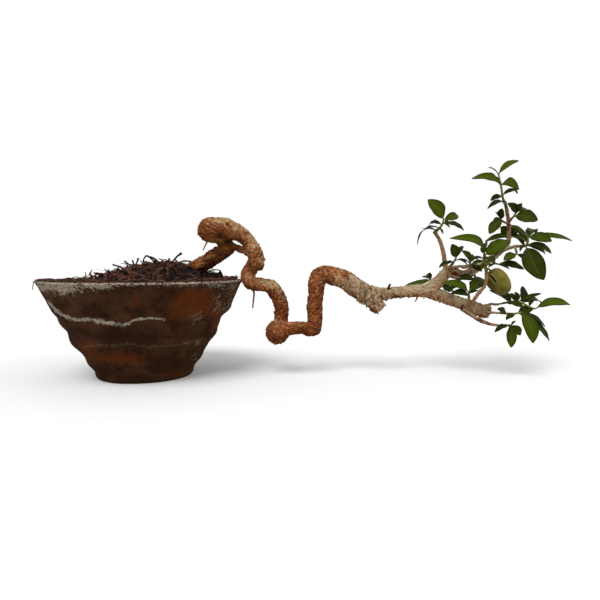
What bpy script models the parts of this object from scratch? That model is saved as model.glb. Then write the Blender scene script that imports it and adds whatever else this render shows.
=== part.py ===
"""Cascade-trained Barbados cherry bonsai in a ridged clay bowl.

Metres, +Z up, the origin at the middle of the bowl's foot. The tree is laid out as an elevation drawing: each
of its points is given in millimetres as it is seen from the view point, across from the bowl's axis and up from
the table, with its true depth behind the bowl's axis. seen() turns such a point into a place.
"""

import math
import random

import bmesh
import bpy
from mathutils import Matrix, Vector, noise

MM = 0.001
SEED = 7

# The view point of the elevation drawing, in millimetres
VIEW_POINT = Vector((156.0, -520.0, 111.0))
VIEW_TILT = math.radians(3.96)
DRAWING_ACROSS = 156.0
DRAWING_UP = 85.0

# The bowl, in millimetres: outer radius and height, from the foot to the rim
BOWL_PROFILE = [
    (44.5, 0.0), (46.6, 2.2), (48.2, 7.5), (52.6, 14.5), (57.2, 22.5), (62.2, 29.5), (66.4, 35.5), (69.4, 41.0),
    (72.2, 48.5), (77.6, 59.5), (82.0, 65.0), (86.0, 72.0), (90.6, 82.0), (94.4, 90.5), (96.6, 94.0),
]
BOWL_WALL = 6.6
BOWL_FLOOR = 8.0
FLOOR_CORNER = 3.0
RIM_ROUNDING = 1.4
BOWL_SIDES = 32

# How the hand-made bowl is out of round: waves round it, where they start, share of the radius
OUT_OF_ROUND = [(2, 0.6, 0.010), (3, 1.9, 0.006)]
DRAIN_SPACING = 40.0
DRAIN_RADIUS = 5.5
DRAIN_SIDES = 16

# The clay's ledges: height, how far each tilts round the bowl, how far it stands out
LEDGES = [(62.0, 5.5, 1.5), (38.0, 2.5, 1.1), (16.0, 2.0, 0.9)]
LEDGE_SOFTNESS = 4.5
LEDGE_START = 0.9  # where round the bowl a ledge starts to climb
LEDGE_WAVER = 0.35  # the share of a ledge's tilt in shorter waves
LEDGE_HOLLOW = 1.9  # how many softnesses above a ledge its hollow lies
LEDGE_FADE = 8.0  # the stretch at the foot and at the rim where the ledges run out

# The planting, in millimetres
GAP = 0.35
SOIL_TOP = 88.0
SCREEN_SIZE = (62.0, 24.0, 1.0)
SCREEN_HOLE = 3.2
SCREEN_PITCH = 5.2
MAT_RINGS = [12.0, 24.0, 36.0, 48.0, 60.0, 71.0, 80.0]
MAT_EDGE = 4.6
MAT_RIM = 92.6
MAT_ROUGHNESS = 1.8
MOUND_HEIGHT = 20.0
MOUND_STEEPNESS = 2.4
MOUND_CENTRE = (14.0, 4.0)
MOUND_REACH = (58.0, 44.0)
MAT_LUMP = 9.0  # the size of the mat's lumps
STRANDS = 34
STRAND_SPACING = 12.0
STRAND_STEPS = 4
STRAND_SCATTER = 0.55  # how widely the strands start round the heap, as a share of its reach
STRAND_REACH = (14.0, 34.0)
STRAND_RISE = (4.0, 11.0)
STRAND_RADIUS = (0.6, 1.3)
STRAND_TAPER = 0.45
STRAND_SINK = 2.5
STRAND_WANDER = 1.5
FREE_STRANDS = 0.4  # the share of strands with one end in the air

# The tree's wood: across, up, depth and radius of each stretch, in millimetres
MAIN_WOOD = {
    "base_stem": [
        (8, 72, 14, 8.5), (22, 90, 13, 10), (36, 106, 12, 10), (48, 115.5, 10, 9), (60, 122.5, 8, 8.6),
        (73, 130.5, 4, 8.2), (83, 136.5, 0, 7.6), (88, 137.5, -1, 6), (90.5, 137, -1.5, 3),
    ],
    "root_band": [
        (50, 114, 1, 2.6), (59, 121.5, -1, 3.2), (66, 127.5, -3, 3.4), (75, 134, -5, 3.5),
        (84, 139.5, -7, 3.3), (93, 137.5, -7, 3), (101, 133.5, -8, 2.8), (110, 130.5, -9, 3),
    ],
    "neck": [
        (84, 137, -3, 7), (81, 143, -7, 7.2), (76, 149, -12, 8),
    ],
    "first_loop": [
        (66, 155, -17, 9.6), (78, 157, -18, 10.2), (88, 154.5, -16, 8.8), (97.5, 149, -12, 7.5),
        (104, 143, -8, 7.2), (108, 137.5, -8, 7.1), (111, 131.5, -9, 7.4), (112.6, 124, -10, 7.8),
        (113, 118.5, -10, 6.8), (112.8, 115, -9, 3.5),
    ],
    "first_drop": [
        (111, 125, -5, 6.5), (107.5, 117, -3, 6.8), (104.2, 112, -4, 7.0), (104.6, 105.5, -6, 7.2),
        (109.5, 101, -4, 6.6), (118, 100.5, -1, 6.4), (126.8, 98, 0, 7), (132.3, 91.5, 1, 7.3),
        (135.8, 84, 1, 7.2), (137.6, 75, 2, 7), (136.8, 65, 2, 7), (134, 56, 0, 7),
    ],
    "low_run": [
        (134, 54, -9, 8), (146, 56.5, -11, 6.6), (156, 57.5, -9, 6.2), (165, 56, -6, 6.8),
        (171, 57, -4, 7.4), (173, 59.5, -3, 6),
    ],
    "second_rise": [
        (169.5, 55.5, -4, 5), (170, 60, -4, 7.6), (171.3, 69, -2, 7.4), (170.5, 79, -1, 7.7),
        (172, 90, 1, 7.4), (172.5, 100.5, 3, 8.4), (174, 107, 4, 8.5), (177, 111, 4, 6),
    ],
    "shoulder": [
        (170.5, 104, 4, 6), (174, 108.5, 4, 8.2), (181, 110.8, 4, 8.6), (190, 108.7, 3, 9),
        (200, 105.5, 2, 9.4), (208, 100, 1, 9.4), (216, 94.5, 0, 9.7), (224, 89.5, -1, 9.6),
        (231.5, 82.5, -2, 8.6), (238, 75.8, -3, 6.8),
    ],
    "long_branch": [
        (220, 92, 1, 7.5), (228, 91.7, 3, 7.2), (236, 91.5, 4, 6.3), (246, 92, 5, 5.8),
        (260, 93.3, 6, 5.8), (276, 94.4, 5, 6.4), (288, 94, 4, 7.2), (292, 93, 4, 5),
    ],
    "lower_fork": [
        (280, 95, 5, 7), (296, 89.5, 4, 6.2), (308, 85, 2, 5.8), (319, 81, 1, 6.1), (330, 77, 0, 6.7),
        (340, 73.5, 0, 6.5), (344.5, 72.3, 0, 5.4),
    ],
    "upper_fork": [
        (282, 93, 4, 6.4), (293.5, 102.5, 2, 6), (300, 109.5, 0, 5.6), (303.5, 115.5, 0, 4.4),
    ],
}
KNOBS = [((68, 155, -16), (13.4, 12.0, 12.2)), ((133.5, 53, -8), (11.7, 11.0, 11.7))]
KNOB_LUMPS = 0.05
KNOB_LUMP_COUNT = 2.2
MAIN_SIDES = 8
BARK_RELIEF = 0.55
MAIN_SPACING = 6.4
ROOT_SIDES = 6
TWIG_SIDES = 6
TWIG_SPACING = 11.0
STEM_SIDES = 4
HAIR_SIDES = 4
BARK_LUMPS = (6.5, 2.8)  # the sizes of the bark's coarse and fine lumps

# The stretches that the soil and the mat are hollowed for, and how much the hollow clears the bark's relief
BURIED = ("base_stem", "root_band", "buried_root", "aerial_root_3")
HOLLOW_MARGIN = 1.6

# The buried roots: place of each point and radius, in millimetres
BURIED_ROOTS = [
    [(28, 12, 78, 8), (16, 24, 62, 5.5), (0, 34, 46, 3.5), (-14, 38, 36, 2)],
    [(26, 8, 74, 7), (26, -10, 58, 5), (18, -26, 42, 3.2), (10, -34, 34, 2)],
    [(16, 10, 66, 8), (-4, 4, 54, 5.5), (-24, 0, 44, 3.5), (-36, -6, 38, 2)],
]

# How much deeper the crown is, front to back, than the depths given for its twigs, leaves and fruit
CROWN_SPREAD = 1.7

# Woody twigs that carry the leafy shoots, laid out as the wood is
TWIGS = {
    "left_tip": [
        (302, 114, 0, 2.8), (300.4, 126, -2, 2.3), (298, 137.6, -4, 2.1), (294.7, 146.5, -6, 1.9),
        (292, 151, -7, 1.8),
    ],
    "crown": [
        (360.5, 135.5, 11, 2.5), (364, 142, 10, 2.3), (364.8, 150, 9, 2.2), (364.7, 158, 8, 2.1),
        (363.9, 167.6, 6, 2.0), (362.5, 176.8, 4, 1.9), (361.3, 181, 3, 1.7),
    ],
    "rising": [
        (301, 112, 1, 4.2), (309.7, 111.4, 6, 3.6), (318, 110.6, 9, 3.3), (326, 113, 11, 3.1),
        (332.7, 117.4, 12, 2.9), (344, 124, 12, 2.7), (352, 129.5, 12, 2.6), (360, 135.5, 11, 2.5),
        (362.5, 137.5, 11, 1.8),
    ],
    "right": [
        (358, 134.5, 11, 2.0), (365.3, 137, 9, 1.9), (371.6, 138.7, 6, 1.7), (377, 138.8, 3, 1.5),
    ],
    "left_back": [
        (302, 116, 1, 2.0), (313, 118.3, 0, 1.6), (320, 118.8, -1, 1.5), (325, 119.6, -2, 1.4),
    ],
    "front": [
        (327, 80, -3, 2.2), (331.5, 87.6, -9, 1.9), (336, 93.3, -12, 1.8), (340.7, 99, -15, 1.7),
        (342, 105, -17, 1.6), (342, 113, -19, 1.5), (341.5, 120, -20, 1.4),
    ],
    "lower_upper": [
        (338, 77, 1, 2.0), (346, 80.5, 4, 1.5), (353.4, 80.8, 5, 1.3), (359, 81.8, 6, 1.2),
    ],
    "lower_right": [
        (341, 72, -3, 1.7), (350.6, 72.4, -8, 1.3), (355.5, 72, -10, 1.2),
    ],
    "lower_tip": [
        (318, 76, -2, 2.2), (326, 70.6, -4, 1.8), (333, 66.5, -5, 1.6), (338.6, 63.6, -6, 1.5),
        (345.6, 61.1, -6, 1.3), (352.7, 59.7, -6, 1.2), (358.5, 59.5, -6, 1.1),
    ],
    "crown_right": [
        (364.2, 163, 7, 1.5), (367.2, 166, 3, 1.1),
    ],
    "crown_left": [
        (364.2, 161, 7, 1.5), (360, 163, 4, 1.1),
    ],
    "upper_fan": [
        (364.6, 146, 9, 1.6), (366.2, 147.5, 14.5, 1.2),
    ],
    "right_under": [
        (370.5, 138.4, 6, 1.5), (372, 134.5, 3.5, 1.1),
    ],
    "inner_right": [
        (347, 126, 12, 2.0), (350, 122.5, 7.5, 1.3),
    ],
    "left_low": [
        (303.5, 116, 0, 2.4), (307.6, 120.2, -5, 1.3),
    ],
    "inner_low": [
        (324.5, 79, -3, 2.2), (324.8, 86.5, -7.5, 1.3),
    ],
    "crotch": [
        (307, 84, 0, 2.4), (308.6, 91.3, -3, 1.2),
    ],
    "under": [
        (329, 114, 11, 2.0), (331, 108.6, 7.5, 1.2),
    ],
    "behind": [
        (289, 99, 4, 2.6), (287.5, 103.5, 12, 1.3),
    ],
    "fruit": [
        (342, 113, -19, 1.4), (343.2, 115.6, -15.5, 1.0),
    ],
}

# Fine roots that hang from the wood
AERIAL_ROOTS = [
    [(65, 146, -20, 0.9), (61.5, 140, -21, 0.7), (59, 134.5, -21, 0.5)],
    [(108, 98, 2, 1.1), (110, 92, 0, 0.9), (109.6, 86, -1, 0.9), (108.6, 77, -1, 0.7)],
    [(100, 101, 4, 1.0), (102, 98, 0, 0.9), (104.5, 95.5, -2, 0.6)],
    [(58, 119, 0, 1.0), (61, 127, -4, 0.8), (66, 132.5, -5, 0.7), (70.5, 129.5, -4, 0.7)],
    [(270, 93, 1, 1.2), (271, 84.5, -3, 0.8), (269.5, 81.5, -4, 0.4)],
    [(244, 92, 2, 1.3), (245.5, 99.5, -1, 1.0), (247, 103, -2, 0.5)],
]

# Leafy shoots. The stem's points follow the twig's end. A leaf is: where along the stem it stands, counted in
# the stem's points; its tip's across, up and depth; its width; how far its face turns from the viewer to the
# sky, in degrees; and its arch as a share of its length.
SHOOTS = {
    "crown": {
        "stem": [
            (359.4, 185, 2, 1.2), (358.3, 190, 1.5, 1.1), (356.9, 200, 0, 1.0), (355.3, 207, -1, 0.8),
            (354.6, 211, -1.5, 0.7),
        ],
        "leaves": [
            (6, 374.7, 224.4, -6, 7.5, 35, 0.1), (6, 344.2, 218, -3, 3.2, 75, 0.12),
            (4, 328.5, 207, -7, 9.5, 42, 0.16), (4, 375, 196, -8, 10, 40, 0.34),
            (3, 375, 195.2, 6, 6, 70, 0.12), (2.8, 346.4, 184.4, 4, 7, 42, 0.2),
            (1.3, 343.6, 176.4, -5, 6, 60, 0.14), (4, 352, 209, 20, 9, 50, 0.12),
            (3, 366, 186, 20, 9, 50, 0.14),
        ],
    },
    "crown_right": {
        "stem": [
            (370, 169, 0, 0.9), (372, 172, -1, 0.8),
        ],
        "leaves": [
            (2, 394, 165.2, -6, 13, 24, 0.2), (3, 366.5, 183, -4, 8, 38, 0.18),
            (3, 378, 181.8, -3, 6, 30, 0.1), (2, 385, 162.8, 6, 5, 70, 0.06),
            (3, 381, 176, 12, 8, 50, 0.12),
        ],
    },
    "crown_left": {
        "stem": [
            (357.2, 165.3, 1, 0.9), (356.6, 166.2, 0.5, 0.8),
        ],
        "leaves": [
            (3, 345.4, 151, -3, 10.5, 18, 0.1), (3, 358.6, 176.8, -5, 7.5, 25, 0.08),
            (3, 351.4, 173, 3, 3.6, 60, 0.1), (2, 348, 161, 14, 8, 50, 0.12),
        ],
    },
    "upper_fan": {
        "stem": [
            (366.8, 148.4, 19, 1.0), (367, 149, 21, 0.8),
        ],
        "leaves": [
            (3, 356.5, 158, 15, 12, 12, 0.1), (3, 373.5, 157.5, 17, 9, 24, 0.1),
            (2, 341, 143.4, 10, 7, 40, 0.12), (3, 365, 160, 34, 10, 60, 0.15),
            (2, 384, 141, 30, 9, 55, 0.12),
        ],
    },
    "right": {
        "stem": [
            (382, 139.4, 0, 1.2), (384, 144, -2, 1.0), (383.6, 149.5, -3, 0.8),
        ],
        "leaves": [
            (3.2, 368, 160.6, -2, 6.5, 48, 0.14), (2.9, 370, 155, 5, 5.5, 60, 0.1),
            (3.6, 409, 146.5, -8, 10, 38, 0.18), (3.8, 428.4, 144.6, 0, 8, 55, 0.13),
            (2.4, 407.6, 131.6, -6, 8.5, 42, 0.2), (2.1, 402, 130.8, 5, 5.5, 68, 0.12),
            (2, 399.8, 104.8, -10, 19, 8, 0.05), (4, 382, 155.6, 0, 4.5, 45, 0.1),
            (3.4, 392, 152, 20, 9, 55, 0.14),
        ],
    },
    "right_under": {
        "stem": [
            (372.4, 131.2, 0.5, 0.9),
        ],
        "leaves": [
            (2, 359.6, 124.4, -1, 8.5, 32, 0.1), (2, 379, 125, 12, 8, 50, 0.1),
        ],
    },
    "inner_right": {
        "stem": [
            (352, 121.4, 5, 1.0), (353.4, 121, 4, 0.9),
        ],
        "leaves": [
            (3, 380, 115, 0, 8.5, 50, 0.15), (2, 344.5, 117.6, 3, 5, 60, 0.1),
            (3, 364, 112, 16, 9, 40, 0.12),
        ],
    },
    "front": {
        "stem": [
            (340.8, 126, -21, 1.2), (340.4, 130.5, -22, 1.0),
        ],
        "leaves": [
            (3, 305.2, 146.2, -30, 11.5, 38, 0.24), (3, 342.5, 143, -14, 8, 45, 0.1),
            (2.8, 365.4, 144, -27, 13, 20, 0.12), (2, 326.5, 125.4, -22, 6.5, 58, 0.14),
            (2.2, 350, 121, -36, 8, 55, 0.14),
        ],
    },
    "left_tip": {
        "stem": [
            (296, 157.5, -8.5, 1.1), (299, 162, -10, 1.0), (299.4, 165.4, -10, 0.8),
        ],
        "leaves": [
            (4, 283.4, 185.4, -14, 12.5, 16, 0.08), (3.8, 314.6, 169.2, -4, 8, 22, 0.12),
            (3, 320, 154.6, -13, 7.5, 52, 0.16), (2.6, 283.6, 158.6, -4, 6.5, 58, 0.28),
            (1.9, 281.6, 156.4, -15, 5, 70, 0.1), (1.5, 277.4, 157, -2, 3.2, 75, 0.05),
            (1.5, 273, 141, -16, 4, 76, 0.26), (1.9, 299.4, 151, -3, 2.8, 60, 0.05),
            (3, 302, 160, 8, 9, 50, 0.12),
        ],
    },
    "left_back": {
        "stem": [
            (326.2, 121.5, -2.6, 0.9), (326, 123.5, -3, 0.8),
        ],
        "leaves": [
            (3, 317.8, 134.5, -5, 7, 38, 0.22), (2.4, 333.5, 126.5, 4, 5, 60, 0.12),
            (3, 322, 130, 12, 8, 50, 0.12),
        ],
    },
    "left_low": {
        "stem": [
            (310, 123.6, -6, 0.9), (312, 127, -6.5, 0.8),
        ],
        "leaves": [
            (3, 307.8, 141, -8, 10, 30, 0.1), (3, 319, 139.4, 0, 7, 35, 0.12),
            (2.2, 322, 122.6, -10, 4.5, 68, 0.22), (1.6, 295, 117, -10, 5.5, 62, 0.16),
        ],
    },
    "inner_low": {
        "stem": [
            (325, 90.5, -8.5, 0.9), (324.6, 93, -9, 0.8),
        ],
        "leaves": [
            (3, 297.6, 98.6, -13, 9, 36, 0.22), (3, 339.6, 105.6, 6, 11.5, 20, 0.1),
            (1.6, 308.4, 93, -13, 8.5, 36, 0.16), (2.2, 333, 93.5, 6, 8, 50, 0.12),
        ],
    },
    "crotch": {
        "stem": [
            (308.2, 95.2, -3.6, 0.9),
        ],
        "leaves": [
            (2, 297.6, 98.4, -3, 8, 28, 0.1), (2, 306, 101.5, 8, 8, 50, 0.12),
        ],
    },
    "under": {
        "stem": [
            (331.6, 104.6, 4.6, 0.9),
        ],
        "leaves": [
            (2, 327.6, 97.4, 2, 7.5, 25, 0.06), (2, 311.4, 105.4, 3, 5, 62, 0.18),
            (2, 340, 101, 14, 8, 45, 0.1),
        ],
    },
    "behind": {
        "stem": [
            (286.8, 105.8, 16, 0.9),
        ],
        "leaves": [
            (2, 260.8, 99.6, 16, 9, 40, 0.18), (2, 284.6, 111.6, 12, 5.5, 35, 0.05),
            (2, 280, 108, 28, 9, 55, 0.15),
        ],
    },
    "lower_upper": {
        "stem": [
            (361.5, 82.2, 6, 1.1), (371, 83.6, 5, 1.1), (378, 82, 3, 1.0), (386, 78, 0, 0.9),
            (391, 76.4, -2, 0.7),
        ],
        "leaves": [
            (6, 426.6, 79.8, -7, 9.5, 38, 0.18), (1.2, 380.5, 77, -6, 8, 52, 0.1),
            (6, 374, 72.5, 9, 9, 24, 0.08), (4, 378.4, 98.8, 8, 10.5, 44, 0.08),
            (4.2, 397.4, 91.6, 4, 6.5, 34, 0.06), (3.2, 364.4, 91.8, 9, 7.5, 48, 0.1),
            (3.4, 371, 93, 0, 6, 40, 0.1), (2.7, 352.6, 94.4, 5, 7.5, 35, 0.1),
            (2.4, 345.8, 94.8, 1, 2.6, 72, 0.08), (4.8, 391, 86.4, 0, 4.5, 50, 0.08),
            (4, 396, 82, 22, 9, 55, 0.12),
        ],
    },
    "lower_right": {
        "stem": [
            (362, 71.6, -11, 1.0), (371, 71.4, -12, 1.0), (377, 72.8, -12, 0.8),
        ],
        "leaves": [
            (4, 389.4, 41.8, -18, 16, 14, 0.06), (4, 405.6, 44, -6, 7.5, 44, 0.08),
            (4, 401, 58, -10, 5.5, 60, 0.12), (2, 355.2, 75.4, -17, 6, 55, 0.1),
            (3, 362, 65.2, -15, 6, 38, 0.1), (3.4, 386, 60, 8, 9, 50, 0.12),
        ],
    },
    "lower_tip": {
        "stem": [
            (362, 59.5, -6.5, 1.0), (367, 60, -7, 0.8),
        ],
        "leaves": [
            (3, 367.2, 37.4, -11, 10.5, 16, 0.06), (3, 377.6, 55.5, -4, 7, 34, 0.1),
            (2.6, 350.6, 53, -16, 6, 40, 0.1), (3, 371.6, 64.4, -7, 3, 50, 0.05),
            (2.4, 366, 52, 10, 8, 50, 0.12),
        ],
    },
}
LEAF_THICKNESS = 0.8
LEAF_FOLD = 0.22
PETIOLE_WIDTH = 1.2
PETIOLE_SHARE = 0.07
PETIOLE_TAPER = 0.4
ROW_CROWDING = 0.9  # under 1 moves a blade's rows towards its tip
STUB = 1.6  # how far a green stem runs straight on from its twig
LONG_LEAF = 18.0
SHORT_LEAF_GRID = (1, 4)
LONG_LEAF_GRID = (2, 4)

# The fruit: its middle and the end its stalk joins, laid out as the wood is; half its width and length
FRUIT_PLACE = (354.6, 103.3, -6, 0)
FRUIT_STALK_END = (345.2, 115.6, -7, 0.9)
FRUIT_HALF_WIDTH = 10.6
FRUIT_HALF_LENGTH = 15.4
FRUIT_LOBES = 3
FRUIT_LOBE_DEPTH = 0.03
FRUIT_DIMPLES = (0.20, 0.08)  # at the stalk and at the tip, as a share of the half length
FRUIT_DIMPLE_SPREAD = 0.10
FRUIT_SHOULDER = 0.08  # how much wider it is towards the stalk
FRUIT_GRID = (15, 10)
STALK_DEPTH = 0.5  # how far from the middle the stalk ends inside the fruit, as a share of the half length

COLOURS = {
    "fired_clay": ((0.16, 0.055, 0.025), 0.82),
    "potting_soil": ((0.035, 0.02, 0.014), 0.95),
    "root_fibre": ((0.07, 0.03, 0.018), 0.9),
    "plastic_mesh": ((0.02, 0.03, 0.02), 0.6),
    "bark": ((0.32, 0.17, 0.085), 0.85),
    "leaf": ((0.05, 0.10, 0.012), 0.4),
    "fruit_skin": ((0.30, 0.27, 0.05), 0.45),
}


def seen(across, up, depth):
    """The place, in metres, of a point of the elevation drawing at its true depth."""
    forward = Vector((0.0, math.cos(VIEW_TILT), -math.sin(VIEW_TILT)))
    upward = Vector((0.0, math.sin(VIEW_TILT), math.cos(VIEW_TILT)))
    ray = forward * -VIEW_POINT.y + upward * (up - DRAWING_UP)
    ray.x += across - DRAWING_ACROSS
    return (VIEW_POINT + ray * ((depth - VIEW_POINT.y) / ray.y)) * MM


def drawn(points, spread=1.0):
    """Places and radii, in metres, of a stretch of the elevation drawing, its depths times a spread."""
    return [(seen(across, up, depth * spread), radius * MM) for across, up, depth, radius in points]


def material(slot):
    """The plain finish of one of the object's materials."""
    found = bpy.data.materials.get(slot)
    if found is None:
        colour, roughness = COLOURS[slot]
        found = bpy.data.materials.new(slot)
        found.use_nodes = True
        shader = found.node_tree.nodes["Principled BSDF"]
        shader.inputs["Base Color"].default_value = (*colour, 1.0)
        shader.inputs["Roughness"].default_value = roughness
        shader.inputs["Metallic"].default_value = 0.0
    return found


def new_object(name, mesh, slot):
    """An object in the scene, with its mesh and its material."""
    obj = bpy.data.objects.new(name, mesh)
    mesh.materials.clear()
    mesh.materials.append(material(slot))
    bpy.context.scene.collection.objects.link(obj)
    return obj


def finish_mesh(bm, name):
    """The mesh of a bmesh, welded and facing out, shaded smooth."""
    bmesh.ops.remove_doubles(bm, verts=bm.verts[:], dist=1e-7)
    bmesh.ops.recalc_face_normals(bm, faces=bm.faces[:])
    mesh = bpy.data.meshes.new(name)
    bm.to_mesh(mesh)
    bm.free()
    mesh.shade_smooth()
    mesh.set_sharp_from_angle(angle=math.radians(50))
    return mesh


def evaluated_mesh(obj):
    """A mesh of the object as its modifiers or its bevel make it."""
    bpy.context.view_layer.update()
    depsgraph = bpy.context.evaluated_depsgraph_get()
    return bpy.data.meshes.new_from_object(obj.evaluated_get(depsgraph))


def bake(obj):
    """Puts the object's evaluated shape, modifiers included, in its own mesh."""
    shape = evaluated_mesh(obj)
    obj.modifiers.clear()
    obj.data = shape


def boolean(obj, others, operation, solver="EXACT"):
    """Joins the other objects to obj, or cuts them from it, and removes them."""
    group = bpy.data.collections.new("operands")
    bpy.context.scene.collection.children.link(group)
    for other in others:
        group.objects.link(other)
    modifier = obj.modifiers.new("Boolean", "BOOLEAN")
    modifier.operation = operation
    modifier.operand_type = "COLLECTION"
    modifier.collection = group
    modifier.solver = solver
    if solver == "EXACT":
        modifier.use_self = True
    bake(obj)
    for other in others:
        bpy.data.objects.remove(other)
    bpy.data.collections.remove(group)


def keep_largest(obj):
    """Drops every loose scrap that a cut left beside the main body."""
    bm = bmesh.new()
    bm.from_mesh(obj.data)
    left = set(bm.faces)
    bodies = []
    while left:
        reached = {left.pop()}
        border = list(reached)
        while border:
            face = border.pop()
            for edge in face.edges:
                for other in edge.link_faces:
                    if other not in reached:
                        reached.add(other)
                        border.append(other)
        left -= reached
        bodies.append(reached)
    bodies.sort(key=len)
    scraps = [face for body in bodies[:-1] for face in body]
    bmesh.ops.delete(bm, geom=scraps, context="FACES")
    bm.to_mesh(obj.data)
    bm.free()


def on_path(path, place):
    """Place and radius at a fractional index of a path, on a smooth curve through its points."""
    last = len(path) - 1
    start = min(int(place), last - 1)
    t = place - start
    before, here, there, after = (path[min(max(start + step, 0), last)] for step in (-1, 0, 1, 2))

    def blend(a, b, c, d):
        bend = 2 * a - 5 * b + 4 * c - d
        twist = 3 * b - a - 3 * c + d
        return 0.5 * (2 * b + (c - a) * t + bend * t ** 2 + twist * t ** 3)

    centre = blend(before[0], here[0], there[0], after[0])
    return centre, here[1] + (there[1] - here[1]) * t


def tube(name, path, sides, spacing, knobbly=0.0, slot="bark"):
    """A closed tube along a smooth curve through the path's points, with its radius running between theirs."""
    stations = []
    for start in range(len(path) - 1):
        reach = (path[start + 1][0] - path[start][0]).length
        steps = max(1, round(reach / (spacing * MM)))
        stations += [on_path(path, start + step / steps) for step in range(steps)]
    stations.append(path[-1])
    curve = bpy.data.curves.new(name, "CURVE")
    curve.dimensions = "3D"
    curve.bevel_depth = 1.0
    curve.bevel_resolution = (sides - 4) // 2
    curve.use_fill_caps = True
    spline = curve.splines.new("POLY")
    spline.points.add(len(stations) - 1)
    for point, (centre, radius) in zip(spline.points, stations):
        point.co = (*centre, 1.0)
        point.radius = radius
    guide = bpy.data.objects.new(name, curve)
    bpy.context.scene.collection.objects.link(guide)
    shape = evaluated_mesh(guide)
    bpy.data.objects.remove(guide)
    bm = bmesh.new()
    bm.from_mesh(shape)
    bmesh.ops.remove_doubles(bm, verts=bm.verts[:], dist=1e-6)
    bmesh.ops.recalc_face_normals(bm, faces=bm.faces[:])
    bm.normal_update()
    if knobbly:
        for vertex in bm.verts:
            coarse, fine = (noise.noise(vertex.co / (lump * MM)) for lump in BARK_LUMPS)
            vertex.co += vertex.normal * ((coarse + 0.5 * fine) * knobbly * MM)
    return new_object(name, finish_mesh(bm, name), slot)


def ball(name, centre, radii, slot="bark"):
    """A lumpy ball with its own radius along each axis, in millimetres."""
    bm = bmesh.new()
    bmesh.ops.create_icosphere(bm, subdivisions=3, radius=1.0)
    for vertex in bm.verts:
        lump = 1.0 + KNOB_LUMPS * noise.noise(vertex.co * KNOB_LUMP_COUNT)
        vertex.co = centre + Vector(c * r * lump * MM for c, r in zip(vertex.co, radii))
    return new_object(name, finish_mesh(bm, name), slot)


def wobble(angle):
    """How far the hand-made bowl is out of round, as a factor on its radius."""
    return 1.0 + sum(share * math.sin(waves * angle + start) for waves, start, share in OUT_OF_ROUND)


def ledge(angle, height):
    """How far the clay's ledges stand out at a place on the outside, in millimetres."""
    out = 0.0
    for middle, tilt, depth in LEDGES:
        line = middle + tilt * (
            math.sin(angle + LEDGE_START) + LEDGE_WAVER * math.sin(3 * angle + middle)
        )
        away = (height - line) / LEDGE_SOFTNESS
        out += depth * (math.exp(-(away ** 2)) - 0.7 * math.exp(-((away + LEDGE_HOLLOW) ** 2)))
    return out * min(1.0, height / LEDGE_FADE, (BOWL_PROFILE[-1][1] - height) / LEDGE_FADE)


def turned(name, outline, slot, shape):
    """A body turned round the Z axis from an outline of (radius, height), each point then moved by shape()."""
    bm = bmesh.new()
    chain = [bm.verts.new((radius, 0.0, height)) for radius, height in outline]
    edges = [bm.edges.new(pair) for pair in zip(chain, chain[1:])]
    bmesh.ops.spin(
        bm, geom=chain + edges, cent=(0, 0, 0), axis=(0, 0, 1), angle=math.tau, steps=BOWL_SIDES,
        use_merge=True,
    )
    bmesh.ops.remove_doubles(bm, verts=bm.verts[:], dist=1e-4)
    for vertex in bm.verts:
        radius = math.hypot(vertex.co.x, vertex.co.y)
        angle = math.atan2(vertex.co.y, vertex.co.x)
        radius, height = shape(radius, angle, vertex.co.z)
        vertex.co = Vector((radius * math.cos(angle), radius * math.sin(angle), height)) * MM
    return new_object(name, finish_mesh(bm, name), slot)


def inner_outline(gap):
    """The inside of the bowl's wall, from the floor's edge up to the rim, kept a gap away from it."""
    outside = (*BOWL_PROFILE[3::3], BOWL_PROFILE[-1])
    wall = [(radius - BOWL_WALL - gap, height) for radius, height in outside]
    return [(wall[0][0] - FLOOR_CORNER, BOWL_FLOOR + gap), *wall]


def inside_radius(height, gap):
    """How far out the inside of the wall lies at a height, less a gap."""
    wall = inner_outline(gap)
    for (low_radius, low), (high_radius, high) in zip(wall, wall[1:]):
        if height <= high:
            break
    return low_radius + (high_radius - low_radius) * (height - low) / (high - low)


def build_pot():
    """The clay bowl, with two drain holes in its floor."""
    rim_radius, rim_height = BOWL_PROFILE[-1]
    top = rim_height + RIM_ROUNDING
    inside = inner_outline(0.0)
    outline = [(0.0, 0.0), *BOWL_PROFILE]
    outline += [(rim_radius - RIM_ROUNDING, top), (inside[-1][0] + RIM_ROUNDING, top)]
    outline += [*reversed(inside), (0.0, BOWL_FLOOR)]
    outer = {round(radius, 3) for radius, _ in BOWL_PROFILE}

    def shape(radius, angle, height):
        stand_out = ledge(angle, height) if round(radius, 3) in outer else 0.0
        return radius * wobble(angle) + stand_out, height

    pot = turned("pot", outline, "fired_clay", shape)
    drills = []
    for side in (-1, 1):
        bm = bmesh.new()
        bmesh.ops.create_cone(
            bm, cap_ends=True, segments=DRAIN_SIDES, radius1=DRAIN_RADIUS * MM, radius2=DRAIN_RADIUS * MM,
            depth=3 * BOWL_FLOOR * MM,
            matrix=Matrix.Translation((side * DRAIN_SPACING / 2 * MM, 0, BOWL_FLOOR / 2 * MM)),
        )
        drills.append(new_object("drill", finish_mesh(bm, "drill"), "fired_clay"))
    boolean(pot, drills, "DIFFERENCE")


def box(name, size, centre, slot):
    """A box of a size, in millimetres, round a centre."""
    bm = bmesh.new()
    bmesh.ops.create_cube(bm, size=1.0)
    for vertex in bm.verts:
        vertex.co = (Vector(centre) + Vector(c * side for c, side in zip(vertex.co, size))) * MM
    return new_object(name, finish_mesh(bm, name), slot)


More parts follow.
